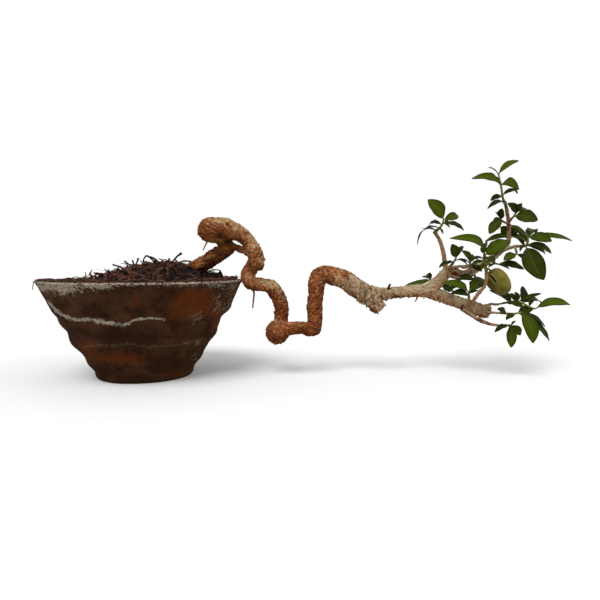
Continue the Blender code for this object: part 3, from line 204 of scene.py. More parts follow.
# Green shoots. A stem goes on from the twig of the same name. A leaf has its start, counted along the stem's
# points, its tip's across, up and depth, its width, how many degrees it turns from facing the view point, how
# far it arches, its tone from dark to light, and how far it bends sideways
SHOOTS = {
    "crown": {
        "stem": [
            (359.4, 185, 2, 1.2), (358.3, 190, 1.5, 1.1), (356.9, 200, 0, 1.0), (355.3, 207, -1, 0.8),
            (354.6, 211, -1.5, 0.7),
        ],
        "leaves": [
            (6, 374.7, 224.4, -6, 7.0, 35, 0.1, 0.85, 0.1), (6, 344.2, 218, -3, 3.2, 75, 0.12, 0.35, 0.05),
            (4, 328.5, 207, -7, 7.6, 42, 0.16, 0.75, -0.05), (4, 375, 196, -8, 10, 40, 0.34, 0.6, 0.0),
            (3, 375, 195.2, 2, 6, 58, 0.14, 0.12, 0.0), (2.8, 346.4, 184.4, 4, 7, 42, 0.2, 0.18, 0.0),
            (1.3, 343.6, 176.4, -5, 5.5, 50, 0.14, 0.12, 0.0), (4, 344, 206, 16, 6, 60, 0.12, 0.4, 0.0),
            (3, 373, 191, 16, 6, 60, 0.14, 0.3, 0.0),
        ],
    },
    "crown_right": {
        "stem": [(370, 169, 0, 0.9), (372, 172, -1, 0.8)],
        "leaves": [
            (2, 394, 165.2, -6, 13, 24, 0.2, 0.38, 0.0), (3, 364, 182, -4, 8, 38, 0.18, 0.15, 0.0),
            (3, 378, 181.8, -3, 6, 30, 0.1, 0.25, 0.0), (2, 385, 162.8, 6, 5, 70, 0.06, 0.25, 0.0),
            (3, 381, 176, 12, 8, 50, 0.12, 0.4, 0.0),
        ],
    },
    "crown_left": {
        "stem": [(357.2, 165.3, 1, 0.9), (356.6, 166.2, 0.5, 0.8)],
        "leaves": [
            (3, 345.4, 151, -3, 10.5, 18, 0.1, 0.4, 0.0), (3, 358.6, 176.8, -5, 7.5, 25, 0.08, 0.15, 0.0),
            (3, 351.4, 173, 3, 3.6, 60, 0.1, 0.12, 0.0), (2, 348, 161, 14, 8, 50, 0.12, 0.35, 0.0),
        ],
    },
    "upper_fan": {
        "stem": [(366.8, 148.4, 19, 1.0), (367, 149, 21, 0.8)],
        "leaves": [
            (3, 356.5, 158, 15, 12, 12, 0.1, 0.5, 0.0), (3, 373.5, 157.5, 17, 9, 24, 0.1, 0.55, 0.0),
            (2, 341, 143.4, 10, 7, 40, 0.12, 0.55, 0.0), (3, 365, 160, 34, 10, 60, 0.15, 0.35, 0.0),
            (2, 384, 141, 30, 9, 55, 0.12, 0.35, 0.0),
        ],
    },
    "right": {
        "stem": [(382, 139.4, 0, 1.2), (384, 144, -2, 1.0), (383.6, 149.5, -3, 0.8)],
        "leaves": [
            (3.2, 368, 160.6, -2, 6.5, 48, 0.14, 0.45, 0.05), (2.9, 370, 155, 5, 5.5, 60, 0.1, 0.35, 0.0),
            (3.6, 408, 144, -8, 11, 30, 0.16, 0.5, 0.0), (3.8, 428.4, 144.6, 0, 6.2, 50, 0.08, 0.6, 0.0),
            (2.4, 407.6, 131.6, -6, 8.5, 42, 0.2, 0.45, 0.0),
            (2.1, 402, 130.8, 5, 5.5, 48, 0.12, 0.12, 0.0), (2, 399.8, 104.8, -10, 19, 8, 0.05, 0.3, -0.04),
            (4, 382, 155.6, 0, 4.5, 45, 0.1, 0.1, 0.0), (1.6, 374, 146, 0, 4.5, 45, 0.12, 0.1, 0.0),
            (1.4, 376, 134, -4, 3.5, 50, 0.1, 0.1, 0.0), (3.4, 392, 152, 20, 9, 55, 0.14, 0.35, 0.0),
        ],
    },
    "right_under": {
        "stem": [(372.4, 131.2, 0.5, 0.9)],
        "leaves": [(2, 359.6, 124.4, -1, 8.5, 32, 0.1, 0.6, 0.0), (2, 386, 119, 10, 8, 50, 0.1, 0.3, 0.0)],
    },
    "inner_right": {
        "stem": [(352, 121.4, 5, 1.0), (353.4, 121, 4, 0.9)],
        "leaves": [
            (3, 380, 115, 0, 8.5, 50, 0.15, 0.18, 0.0), (2, 344.5, 117.6, 3, 5, 60, 0.1, 0.25, 0.0),
            (3, 365, 115, 12, 6, 45, 0.12, 0.25, 0.0),
        ],
    },
    "front": {
        "stem": [(340.8, 126, -21, 1.7), (340.4, 130.5, -22, 1.3)],
        "leaves": [
            (3, 305.2, 146.2, -30, 8.6, 38, 0.27, 0.72, -0.05), (3, 342.5, 143, -14, 8, 45, 0.1, 0.2, 0.0),
            (2.8, 365.4, 144, -27, 13, 20, 0.12, 0.7, 0.0), (2, 326.5, 125.4, -22, 6.5, 58, 0.14, 0.3, 0.0),
            (2.2, 350, 121, -36, 8, 55, 0.14, 0.3, 0.0),
        ],
    },
    "left_tip": {
        "stem": [(296, 157.5, -8.5, 1.1), (299, 162, -10, 1.0), (299.4, 165.4, -10, 0.8)],
        "leaves": [
            (4, 283.4, 185.4, -14, 12.5, 16, 0.08, 0.85, -0.08),
            (3.8, 314.6, 169.2, -4, 8, 22, 0.12, 0.65, 0.0), (3, 320, 154.6, -13, 7.5, 52, 0.16, 0.18, 0.0),
            (2.6, 283.6, 158.6, -4, 6.5, 58, 0.28, 0.2, 0.0),
            (1.9, 281.6, 156.4, -15, 5, 70, 0.1, 0.12, 0.0),
            (1.5, 277.4, 157, -2, 3.2, 75, 0.05, 0.12, 0.0), (1.5, 273, 141, -16, 4, 76, 0.26, 0.12, 0.0),
            (1.9, 299.4, 151, -3, 2.8, 60, 0.05, 0.3, 0.0), (3, 302, 160, 8, 9, 50, 0.12, 0.4, 0.0),
        ],
    },
    "left_back": {
        "stem": [(326.2, 121.5, -2.6, 0.9), (326, 123.5, -3, 0.8)],
        "leaves": [
            (3, 317.8, 134.5, -5, 7, 38, 0.22, 0.35, 0.0), (2.4, 333.5, 126.5, 4, 5, 60, 0.12, 0.3, 0.0),
            (1.5, 339, 124, -8, 5, 50, 0.1, 0.2, 0.0), (1.2, 338, 113, -6, 5.5, 40, 0.1, 0.15, 0.0),
            (1.3, 333, 118, -9, 3.5, 50, 0.2, 0.5, 0.0), (2, 314, 126, -4, 3, 50, 0.15, 0.12, 0.0),
            (3, 322, 130, 12, 8, 50, 0.12, 0.35, 0.0),
        ],
    },
    "left_low": {
        "stem": [(310, 123.6, -6, 0.9), (312, 127, -6.5, 0.8)],
        "leaves": [
            (3, 307.8, 141, -8, 10, 30, 0.1, 0.3, 0.0), (3, 319, 139.4, 0, 7, 35, 0.12, 0.2, 0.0),
            (2.2, 323.5, 119.6, -10, 4.5, 62, 0.26, 0.12, 0.0),
            (1.8, 303.5, 121, -9, 4.2, 55, 0.2, 0.1, 0.0), (1.6, 295, 117, -10, 5.5, 62, 0.16, 0.12, 0.0),
        ],
    },
    "inner_low": {
        "stem": [(325, 90.5, -8.5, 0.9), (324.6, 93, -9, 0.8)],
        "leaves": [
            (3, 298.6, 102.6, -13, 8.5, 36, 0.2, 0.8, 0.0), (3, 339.6, 105.6, 6, 11.5, 20, 0.1, 0.55, 0.0),
            (1.6, 307.6, 92, -13, 8, 36, 0.18, 0.35, 0.0), (2.2, 333, 93.5, 6, 8, 50, 0.12, 0.35, 0.0),
        ],
    },
    "crotch": {
        "stem": [(308.2, 95.2, -3.6, 0.9)],
        "leaves": [(2, 297.2, 97.6, -8, 8, 28, 0.1, 0.25, 0.0), (2, 306, 101.5, 8, 8, 50, 0.12, 0.35, 0.0)],
    },
    "under": {
        "stem": [(331.6, 104.6, 4.6, 0.9)],
        "leaves": [
            (2, 326.6, 98.4, 2, 7.5, 25, 0.06, 0.7, 0.0), (2, 311.4, 105.6, 3, 7.5, 45, 0.18, 0.4, 0.0),
            (2, 340, 101, 14, 8, 45, 0.1, 0.4, 0.0),
        ],
    },
    "behind": {
        "stem": [(286.8, 105.8, 16, 0.9)],
        "leaves": [
            (2, 260.8, 99.0, 16, 8, 40, 0.09, 0.65, 0.11), (2, 284.6, 111.6, 12, 5.5, 35, 0.05, 0.25, 0.0),
            (2, 280, 108, 28, 9, 55, 0.15, 0.4, 0.0),
        ],
    },
    "lower_upper": {
        "stem": [
            (361.5, 82.2, 6, 1.1), (371, 83.6, 5, 1.1), (378, 82, 3, 1.0), (386, 78, 0, 0.9),
            (391, 76.4, -2, 0.7),
        ],
        "leaves": [
            (6, 426.6, 79.8, -7, 9.5, 38, 0.18, 0.75, 0.05), (1.2, 380.5, 77, -6, 8, 52, 0.1, 0.35, 0.0),
            (6, 374, 72.5, 9, 9, 24, 0.08, 0.5, 0.0), (4, 378.4, 98.8, 8, 10.5, 44, 0.08, 0.15, 0.0),
            (3.4, 397.4, 91.6, 4, 5.5, 40, 0.06, 0.55, 0.0), (3.2, 364.4, 91.8, 9, 7.5, 48, 0.1, 0.3, 0.0),
            (3.4, 371, 93, 0, 6, 40, 0.1, 0.25, 0.0), (2.7, 352.6, 94.4, 5, 7.5, 35, 0.1, 0.2, 0.0),
            (2.4, 345.4, 94.6, -6, 4.6, 45, 0.08, 0.12, 0.0), (4.8, 391, 86.4, 0, 4.5, 50, 0.08, 0.4, 0.0),
            (4, 396, 82, 22, 9, 55, 0.12, 0.35, 0.0),
        ],
    },
    "lower_right": {
        "stem": [(362, 71.6, -11, 1.0), (371, 71.4, -12, 1.0), (377, 72.8, -12, 0.8)],
        "leaves": [
            (4, 389.4, 41.8, -18, 13, 14, 0.06, 0.62, 0.1), (4, 405.6, 44, -6, 7.5, 44, 0.08, 0.4, 0.0),
            (4, 401, 58, -10, 5.5, 60, 0.12, 0.15, 0.0), (2, 353.6, 76, -17, 7, 40, 0.1, 0.2, 0.0),
            (3, 362, 65.2, -15, 6, 38, 0.1, 0.3, 0.0), (3.4, 386, 60, 8, 9, 50, 0.12, 0.35, 0.0),
        ],
    },
    "lower_tip": {
        "stem": [(362, 59.5, -6.5, 1.0), (367, 60, -7, 0.8)],
        "leaves": [
            (3, 367.2, 37.4, -11, 9.6, 16, 0.06, 0.6, 0.0), (3, 377.4, 50, -4, 7.5, 30, 0.1, 0.65, 0.0),
            (2.6, 350.6, 53, -16, 6, 40, 0.1, 0.15, 0.0), (3, 371.6, 64.4, -7, 3, 50, 0.05, 0.15, 0.0),
            (2.4, 366, 52, 10, 8, 50, 0.12, 0.35, 0.0),
        ],
    },
}

# The bowl, in millimetres, beside its outline
BOWL_WALL = 6.6
BOWL_FLOOR = 8.0
FLOOR_CORNER = 3.0
RIM_ROUNDING = 1.4
DRAIN_SPACING = 40.0
DRAIN_RADIUS = 5.5

# The clay's lumps, each layer's size in millimetres and its share of the height
BOWL_LUMPS = ((27, 1.0), (9, 0.45), (3.5, 0.2))

# Waves that take the bowl out of round: how many go round it, where they start, their share of the radius
OUT_OF_ROUND = [(2, 0.6, 0.010), (3, 1.9, 0.006)]

# The clay's ledges: the height of each, how far it tilts and how far it stands out
LEDGES = [(62.0, 5.5, 1.5), (38.0, 2.5, 1.1), (16.0, 2.0, 0.9)]
LEDGE_SOFTNESS = 4.5
LEDGE_HOLLOW = 1.9
LEDGE_FADE = 8.0
LEDGE_START = 0.9
LEDGE_WAVER = 0.35

# The root mat: its level at the rim, its heap's height, steepness, middle and reach, in millimetres
MAT_LEVEL = 92.6
MAT_FOOT = 88.35
MAT_REACH = 87.4
MAT_ROWS = 70
MAT_TURNS = 200
MOUND_HEIGHT = 17.5
MOUND_STEEPNESS = 2.4
MOUND_CENTRE = (14.0, 4.0)
MOUND_REACH = (58.0, 44.0)
HOLLOW_DEPTH = 7.5
HOLLOW_PLACE = (66.0, 0.0)
HOLLOW_REACH = 15.0

# The level at which the mat meets the bowl, and where a bit of fibre that crosses the rim lies and hangs
MAT_EDGE = MAT_LEVEL - 0.8
RIM_INSIDE = 88.0
OVER_RIM = RIM_HEIGHT + RIM_ROUNDING + 0.3
DOWN_RIM = RIM_RADIUS + 1.6

# A spot of the mat, across and back, where the longer bark chips are golden: its middle and reach, the least
# length of such a chip and its tone
GOLDEN_SPOT = (14.0, -27.0)
GOLDEN_REACH = 11.0
GOLDEN_SIZE = 1.5
GOLDEN_TONE = 0.95

# How far across, in millimetres, the mat's fibres turn darker, and the share of their tone that is left there
DARK_SIDE = 38.0
DARK_SIDE_TONE = 0.55

# Roots of the mat that stand out against the background, laid out as the wood is
LOOSE_ROOTS = [
    [(-32, 109, -5, 0.9), (-31.6, 112.5, -5, 0.8), (-31.4, 115, -5, 1.1)],
    [(-19, 111, -5, 0.9), (-23, 114, -5, 0.9), (-26, 116.5, -5, 1.0)],
    [(-9, 115, -4, 0.9), (-15, 120.5, -4, 0.8), (-19.5, 123.8, -4, 1.2)],
    [(-9, 116, -3, 0.8), (-10.5, 122, -3, 0.7), (-11.8, 124.6, -3, 1.0)],
    [(-10, 116, -6, 0.8), (-7, 123, -6, 0.7), (-5.6, 127, -6, 1.1)],
    [
        (0, 119, -6, 0.8), (-0.5, 125, -6, 0.8), (2.4, 129.2, -6, 0.8), (6, 127.5, -6, 0.9),
        (10, 123.5, -6, 0.9),
    ],
    [(3, 128.8, -5, 0.8), (9, 127, -5, 1.0), (15, 123, -5, 1.0), (20, 122.5, -5, 0.8)],
    [(21, 119, -5, 0.9), (24.5, 124.5, -5, 0.9), (25.5, 126.8, -5, 1.2)],
    [(26, 120, -6, 1.0), (31.5, 127, -6, 0.9), (35, 130, -6, 1.0), (37.6, 131.8, -6, 1.4)],
    [(30, 120, 6, 0.9), (40, 124, 7, 0.8), (50, 123, 8, 0.8), (58, 124, 9, 0.7)],
    [(50, 122, 8, 0.7), (56, 128, 8, 0.7), (62, 127, 8, 0.7)],
    [(56, 105, -9, 1.2), (66, 107, -9, 1.3), (72, 109, -9, 1.5), (76, 112.5, -9, 1.2)],
    [(70, 110, -9, 1.2), (74.5, 106, -9, 1.2), (78, 104, -9, 1.0)],
    [(58, 109, -8, 1.1), (65, 104.5, -8, 1.2), (74, 106.5, -8, 1.0)],
    [(75.5, 115, -10, 0.8), (77.5, 111, -10, 1.1), (78, 107, -10, 1.0), (76, 103, -10, 0.8)],
]

# How much deeper the crown is, front to back, than the depths given for its twigs, leaves and fruit are
CROWN_SPREAD = 1.7

# The fruit: its middle and the end its stalk joins, laid out as the wood is; half its width and length
FRUIT_PLACE = (354.6, 103.3, -6)
FRUIT_STALK_END = (345.2, 115.6, -7)
FRUIT_HALF_WIDTH = 10.6
FRUIT_HALF_LENGTH = 15.4

# Marks painted on the bowl, under the names of the attributes that hold them. Each is a soft oval seen on the
# drawing: across, up, half width, half height, strength
BOWL_MARKS = {
    "rust": [
        (51, 82, 27, 17, 1.0), (30, 70, 14, 12, 0.7), (-8, 82, 7, 16, 0.6), (-27, 27, 36, 6.5, 1.0),
        (-54, 37, 9, 9, 0.8), (30, 11, 14, 4, 0.5), (-38, 62, 16, 8, 0.35), (74, 66, 9, 20, 1.0),
    ],
    # The dark marks darken bands below the ledges and toward the foot: painted shade there, along with darker
    # stains
    "dark": [
        (27, 22, 28, 8, 0.8), (46, 50, 24, 7, 0.6), (-20, 47, 54, 11, 0.85), (8, 88, 20, 8, 0.45),
        (66, 66, 12, 16, 0.4), (-30, 14, 24, 5, 0.5), (-4, 6, 26, 5, 0.9),
    ],
    "olive": [(-60, 92, 26, 12, 0.9), (-20, 86, 18, 14, 0.5), (4, 60, 30, 8, 0.4), (0, 34, 20, 6, 0.4)],
    "scratch": [
        (56, 67, 10, 8, 1.0), (50, 41, 13, 4, 0.9), (78, 82, 11, 15, 1.1), (88, 84, 6, 14, 1.1),
        (62, 32, 8, 6, 0.5), (52, 27, 8, 5, 0.8),
    ],
}
RIM_MARKS = [
    (-98, 98, 16, 5, 1.0), (-80, 98, 22, 8.5, 1.1), (-48, 100, 24, 6, 1.0), (-10, 99.5, 30, 3.0, 0.5),
    (40, 99.5, 34, 3.0, 0.55), (72, 100, 18, 5.0, 0.65), (88, 98, 12, 7.5, 0.55), (95, 90, 4, 9, 0.5),
]

# Lines painted on the bowl: across, up and half width along each
CRUST_LINE = [
    (-96, 84, 2.4), (-88, 74, 2.8), (-77, 67.5, 3.4), (-65, 65, 2.6), (-56, 65.5, 3.8), (-46, 64, 3.8),
    (-31, 61.7, 3.4), (-18, 60.2, 3.4), (-11.5, 64, 2.2), (-6, 66, 2.4), (5, 66.8, 2.0), (21, 65.3, 1.8),
]
FAINT_LINE = [
    (-62, 37, 3.0), (-48, 40, 3.4), (-32, 39, 3.4), (-14, 41.5, 3.6), (4, 38, 3.0), (30, 40, 3.0),
    (62, 46, 3.6),
]

# Marks painted on the wood in the same way as on the bowl
WOOD_MARKS = {
    "moss": [
        (77, 165, 11, 6, 1.0), (95, 158, 11, 6, 0.85), (74, 147, 10, 5, 0.6), (106, 148, 9, 12, 0.7),
        (117, 124, 4, 9, 0.6), (127, 102, 11, 6, 1.0), (136, 92, 5, 8, 0.6), (188, 102, 9, 7, 0.7),
    ],
    "pale": [
        (196, 103, 9, 6, 0.8), (209, 97, 13, 13, 1.0), (224, 87, 17, 14, 1.3), (238, 76, 13, 12, 1.4),
        (240, 92, 16, 9, 1.1), (262, 94, 24, 9, 1.1), (290, 104, 18, 20, 1.1), (312, 84, 24, 10, 1.0),
        (336, 76, 16, 10, 1.0), (106, 146, 8, 12, 0.35),
    ],
    "cracked": [
        (209, 99, 10, 9, 0.6), (224, 87, 17, 14, 1.2), (238, 76, 13, 12, 1.3), (242, 92, 12, 8, 0.8),
        (270, 88, 26, 4, 0.3), (300, 82, 20, 5, 0.4), (330, 73, 18, 8, 0.5), (341, 74, 9, 9, 0.9),
    ],
    "warm": [
        (92, 153, 14, 9, 0.9), (106, 140, 10, 14, 1.0), (112, 122, 8, 10, 0.6), (108, 106, 13, 10, 1.4),
        (120, 101, 14, 7, 1.2), (70, 128, 16, 6, 0.8), (70, 152, 12, 10, 0.3), (176, 108, 14, 8, 0.5),
        (190, 108, 16, 7, 0.8), (138, 56, 14, 12, 0.3),
    ],
    "ochre": [
        (66, 128, 9, 4.5, 0.9), (78, 137, 9, 4.5, 0.8), (57, 120, 8, 4, 0.8), (70, 145, 11, 3.2, 1.1),
        (58, 152, 3, 8, 0.5), (100, 134, 9, 4, 0.4),
    ],
    # The dark marks darken the wood: on the lower stem behind the root band they are painted shade; the rest
    # darken the neck below the knot and the undersides of the bends
    "dark": [
        (64, 112, 10, 5.5, 1.0), (75, 118, 10, 5.5, 1.2), (85, 126, 8, 6, 1.1), (68, 152, 4, 2.2, 0.7),
        (56, 112, 16, 7, 1.2), (84, 143, 8, 5, 0.8), (75.5, 149, 5, 3.2, 0.8), (110, 97, 5, 3, 0.6),
        (170, 56, 10, 4, 0.6), (118, 96, 10, 3, 0.4),
    ],
}

# Marks painted on the twigs alone
SPROUT_MARKS = [(341.5, 118, 7, 9, 1.0), (294, 148, 5, 6, 0.5), (362, 180, 5, 8, 0.8)]
RED_TWIG_MARKS = [
    (309, 112, 9, 6, 0.75), (324, 71, 9, 6, 0.6), (364, 160, 7, 24, 0.4), (340, 64, 26, 7, 0.8),
    (313, 118, 12, 3, 0.25),
]

# How strongly crust covers the rim: above a level on its outside, where the pale band along the lip is a
# painted highlight as well as crust, and all over its inside
LIP_LEVEL = 94.0
LIP_CRUST_AND_HIGHLIGHT = 0.78
INSIDE_CRUST = 0.7

# How far apart the rings of limbs, twigs, roots in the air and green stems are, in millimetres
LIMB_STEP = 2.2
TWIG_STEP = 1.6
ROOT_STEP = 1.2
STEM_STEP = 1.4

# The bark: its lumps, as the clay's, and how wide and long its wrinkles, plates and ridges are
BARK_LUMPS = ((4.6, 1.0), (2.1, 0.8), (1.05, 0.45))
WRINKLE_SIZE = (6.5, 2.4)
PLATE_SIZE = (4.4, 5.5)
RIDGE_SIZE = (1.7, 9.0)
TWIG_RIDGE_SIZE = (0.9, 8.0)

# Loose flakes of bark: ranges of their length, width and thickness, in millimetres, and of their curl
FLAKE_LENGTH = (1.0, 2.8)
FLAKE_WIDTH = (0.7, 1.8)
FLAKE_THICKNESS = (0.2, 0.4)
FLAKE_CURL = (0.1, 0.4)

# How thick a bare twig is, as a share of the solid's
TWIG_GIRTH = 0.88

# How far the bark's grain winds round a limb, in radians for each millimetre along it
SPIRAL = -0.10

# The stretches of wood that belong to the branches, beyond the trunk's first fork
OUTER_WOOD = ("long_branch", "lower_fork", "upper_fork")

# Leaves and stems, in millimetres: a blade starts beyond its stalk's share of the length
STALK_WIDTH = 1.2
STALK_SHARE = 0.07
STALK_NARROWING = 0.4
BLADE_COLUMNS = 8
BLADE_ROWS = 18
BLADE_WIDENING = 1.04
BLADE_SKEW = 0.92
BLADE_FULLNESS = 0.68
STEM_GAP = 0.35
STEM_STUB = 1.6
STALK_RADIUS = 0.62
RIB_RADIUS = 0.46
RIB_TIP_RADIUS = 0.10

# The fruit's lobes and dimples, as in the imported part, and its calyx
FRUIT_LOBES = 3
FRUIT_LOBE_DEPTH = 0.03
FRUIT_DIMPLES = (0.20, 0.08)
FRUIT_DIMPLE_SPREAD = 0.10
FRUIT_SHOULDER = 0.08
SEPALS = 5
SEPAL_THICKNESS = 0.45

# The scar on the fruit: across, up and half width along its line on the drawing
SCAR_LINE = [(345.0, 110.1, 1.2), (347.4, 108.4, 1.8), (349.8, 105.8, 1.9), (351.7, 102.8, 1.4)]
SCAR_DEPTH = 1.5
SCAR_LIP = 0.35
# Painted shade on the fruit's lower left, as soft ovals: across, up, half width, half height, strength
LOWER_LEFT_SHADE_MARKS = [(345, 97, 9, 11, 1.1), (356, 90, 12, 4, 0.7)]

# The stage: where the lamps stand, how wide they look, in degrees, and how far the floor reaches, in metres
LAMPS = {"key": (-0.35, -0.75, 1.1), "fill": (1.2, -0.5, 0.9)}
LAMP_WIDTH = 35
FLOOR_REACH = 14.0


# Places on the drawing


def seen(across, up, depth):
    """The place, in metres, of a point of the elevation drawing at its true depth."""
    ray = FORWARD * -VIEW_POINT.y + UPWARD * (up - DRAWING_UP)
    ray.x += across - DRAWING_ACROSS
    return (VIEW_POINT + ray * ((depth - VIEW_POINT.y) / ray.y)) * MM


def drawn(points, spread=1.0):
    """Places and radii, in metres, of a stretch of the elevation drawing, its depths times a spread."""
    return [(seen(across, up, depth * spread), radius * MM) for across, up, depth, radius in points]


def drawing_places(places):
    """The points of the drawing, rows of across and up, at which rows of places in metres are seen."""
    rays = places / MM - np.array(VIEW_POINT)
    scale = -VIEW_POINT.y / (rays @ np.array(FORWARD))
    up = rays @ np.array(UPWARD)
    return np.stack([DRAWING_ACROSS + rays[:, 0] * scale, DRAWING_UP + up * scale], axis=1)


def covered(points, marks):
    """How strongly soft oval marks (across, up, half width, half height, strength) cover each point."""
    total = np.zeros(len(points))
    for across, up, wide, high, strength in marks:
        away = ((points[:, 0] - across) / wide) ** 2 + ((points[:, 1] - up) / high) ** 2
        total = np.maximum(total, strength * np.exp(-away))
    return total


def lumps(place, layers):
    """Noise at a place, a sum of layers that each have a size and a share."""
    return sum(share * noise.noise(place / size) for size, share in layers)


def beside(points, line, widening=1.0):
    """1 for a point on a line through (across, up, width) points, falling to 0 that width away from it."""
    nearest = np.full(len(points), np.inf)
    for start, end in zip(np.array(line), np.array(line)[1:]):
        run = (end - start)[:2]
        share = np.clip((points - start[:2]) @ run / (run @ run), 0, 1)
        away = np.linalg.norm(points - start[:2] - share[:, None] * run, axis=1)
        nearest = np.minimum(nearest, away / (start[2] + (end[2] - start[2]) * share))
    return np.clip(1 - nearest / widening, 0, 1)


def smooth_step(low, high, value):
    """0 below low, 1 above high, and a smooth rise between them."""
    t = min(1.0, max(0.0, (value - low) / (high - low)))
    return t * t * (3 - 2 * t)


# Paths and the tubes along them


def on_path(path, place):
    """Place and radius at a fractional index of a path, on a smooth curve through its points."""
    last = len(path) - 1
    start = min(int(place), last - 1)
    t = place - start
    before, here, there, after = (path[min(max(start + step, 0), last)] for step in (-1, 0, 1, 2))

    def blend(a, b, c, d):
        bend = 2 * a - 5 * b + 4 * c - d
        twist = 3 * b - a - 3 * c + d
        return 0.5 * (2 * b + (c - a) * t + bend * t ** 2 + twist * t ** 3)

    centre = blend(before[0], here[0], there[0], after[0])
    return centre, here[1] + (there[1] - here[1]) * t


def stations(path, spacing):
    """Places and radii along a path, about a spacing apart, in metres."""
    found = []
    for start in range(len(path) - 1):
        reach = (path[start + 1][0] - path[start][0]).length
        steps = max(1, round(reach / spacing))
        found += [on_path(path, start + step / steps) for step in range(steps)]
    return [*found, path[-1]]


def rings(line):
    """For each place and radius of a line, the matrix that carries a unit ring there, square to the line."""
    side = None
    made = []
    for n, (centre, radius) in enumerate(line):
        ahead = (line[min(n + 1, len(line) - 1)][0] - line[max(n - 1, 0)][0]).normalized()
        side = ahead.orthogonal() if side is None else side - ahead * side.dot(ahead)
        side = side.normalized()
        turn = Matrix((side, ahead.cross(side), ahead)).transposed().to_4x4()
        made.append(Matrix.Translation(centre) @ turn @ Matrix.Scale(radius, 4))
    return made


def sweep(line, sides):
    """A bmesh of a closed tube: a capped ring carried along a line of places and radii."""
    bm = bmesh.new()
    frames = rings(line)
    ring = bmesh.ops.create_circle(bm, cap_ends=True, segments=sides, radius=1.0, matrix=frames[0])
    cap = ring["verts"][0].link_faces[0]
    for before, after in zip(frames, frames[1:]):
        grown = bmesh.ops.extrude_face_region(bm, geom=[cap])["geom"]
        cap = next(part for part in grown if isinstance(part, bmesh.types.BMFace))
        bmesh.ops.transform(bm, matrix=after @ before.inverted(), verts=cap.verts[:])
    bmesh.ops.recalc_face_normals(bm, faces=bm.faces[:])
    return bm


def turn_round(bm, chain, steps):
    """Turns a chain of vertices round the Z axis into a closed skin."""
    edges = [bm.edges.new(pair) for pair in zip(chain, chain[1:])]
    bmesh.ops.spin(
        bm, geom=chain + edges, cent=(0, 0, 0), axis=(0, 0, 1), angle=math.tau, steps=steps, use_merge=True,
    )
    bmesh.ops.remove_doubles(bm, verts=bm.verts[:], dist=1e-4)


def turned(spin, tilt):
    """The matrix that tilts a part about its X axis and then spins it about Z."""
    return Matrix.Rotation(spin, 4, "Z") @ Matrix.Rotation(tilt, 4, "X")


def roughen(bm, size, reach):
    """Moves each vertex by noise whose lumps have a size, as far as a reach, both in millimetres."""
    for vertex in bm.verts:
        vertex.co += noise.noise_vector(vertex.co / MM / size) * (reach * MM)


def second_finish(bm):
    """Gives every face of a bmesh the second of its mesh's finishes."""
    for face in bm.faces:
        face.material_index = 1


def mark(bm, name, value):
    """Gives every vertex of a bmesh one value of a named attribute."""
    layer = bm.verts.layers.float.get(name) or bm.verts.layers.float.new(name)
    for vertex in bm.verts:
        vertex[layer] = value


def gather(whole, part):
    """Moves a finished bmesh into another one."""
    passing = bpy.data.meshes.new("passing")
    part.to_mesh(passing)
    part.free()
    whole.from_mesh(passing)
    bpy.data.meshes.remove(passing)


def as_mesh(bm, name):
    """The mesh of a bmesh, which is freed."""
    mesh = bpy.data.meshes.new(name)
    bm.to_mesh(mesh)
    bm.free()
    return mesh


def add_piece(name, mesh, finishes, stands_for=None, crease=50):
    """A shown piece on the root body, shaded smooth up to a crease's angle in degrees."""
    mesh.name = name
    obj = bpy.data.objects.new(name, mesh)
    bpy.context.scene.collection.objects.link(obj)
    for finish in finishes:
        mesh.materials.append(finish)
    mesh.shade_smooth()
    mesh.set_sharp_from_angle(angle=math.radians(crease))
    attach(obj, "root")
    if stands_for:
        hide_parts(stands_for)
    return obj


def shaped_by(mesh, settings):
    """A new mesh: the given one as a list of (modifier type, settings) leaves it."""
    obj = bpy.data.objects.new("passing", mesh)
    bpy.context.scene.collection.objects.link(obj)
    for kind, values in settings:
        modifier = obj.modifiers.new(kind, kind)
        for key, value in values.items():
            setattr(modifier, key, value)
    bpy.context.view_layer.update()
    shape = bpy.data.meshes.new_from_object(obj.evaluated_get(bpy.context.evaluated_depsgraph_get()))
    bpy.data.objects.remove(obj)
    shape.materials.clear()
    return shape


def rows_of(vectors, name):
    """One vector of each vertex, as rows."""
    values = np.empty(len(vectors) * 3, np.float32)
    vectors.foreach_get(name, values)
    return values.reshape(-1, 3).astype(float)


def vertex_places(mesh):
    return rows_of(mesh.vertices, "co")


def vertex_normals(mesh):
    return rows_of(mesh.vertex_normals, "vector")


def raise_skin(mesh, heights):
    """Moves each vertex out along its normal by a height in metres."""
    places = vertex_places(mesh) + vertex_normals(mesh) * np.asarray(heights)[:, None]
    mesh.vertices.foreach_set("co", places.astype(np.float32).ravel())
    mesh.update()


def paint(mesh, name, values, kind="FLOAT"):
    """Keeps one value or vector for each vertex, as an attribute that a material reads."""
    layer = mesh.attributes.get(name) or mesh.attributes.new(name, kind, "POINT")
    layer.data.foreach_set("value" if kind == "FLOAT" else "vector", np.asarray(values, np.float32))


# Materials


class Field:
    """A number that changes over a surface. Arithmetic on it adds Math nodes to its finish."""

    def __init__(self, finish, socket):
        self.finish = finish
        self.socket = socket

    def _math(self, operation, *values):
        return self.finish.node("ShaderNodeMath", {"operation": operation}, dict(enumerate(values)))

    def __add__(self, other):
        return self._math("ADD", self, other)

    def __sub__(self, other):
        return self._math("SUBTRACT", self, other)

    def __rsub__(self, other):
        return self._math("SUBTRACT", other, self)

    def __mul__(self, other):
        return self._math("MULTIPLY", self, other)

    __radd__ = __add__
    __rmul__ = __mul__

    def absolute(self):
        return self._math("ABSOLUTE", self)

    def part(self):
        """What is left of it over the last whole number."""
        return self._math("FRACT", self)

    def rising(self, low, high):
        """0 below low, 1 above high, and a smooth rise between them."""
        sockets = {"Value": self, "From Min": low, "From Max": high}
        return self.finish.node("ShaderNodeMapRange", {"interpolation_type": "SMOOTHSTEP"}, sockets)


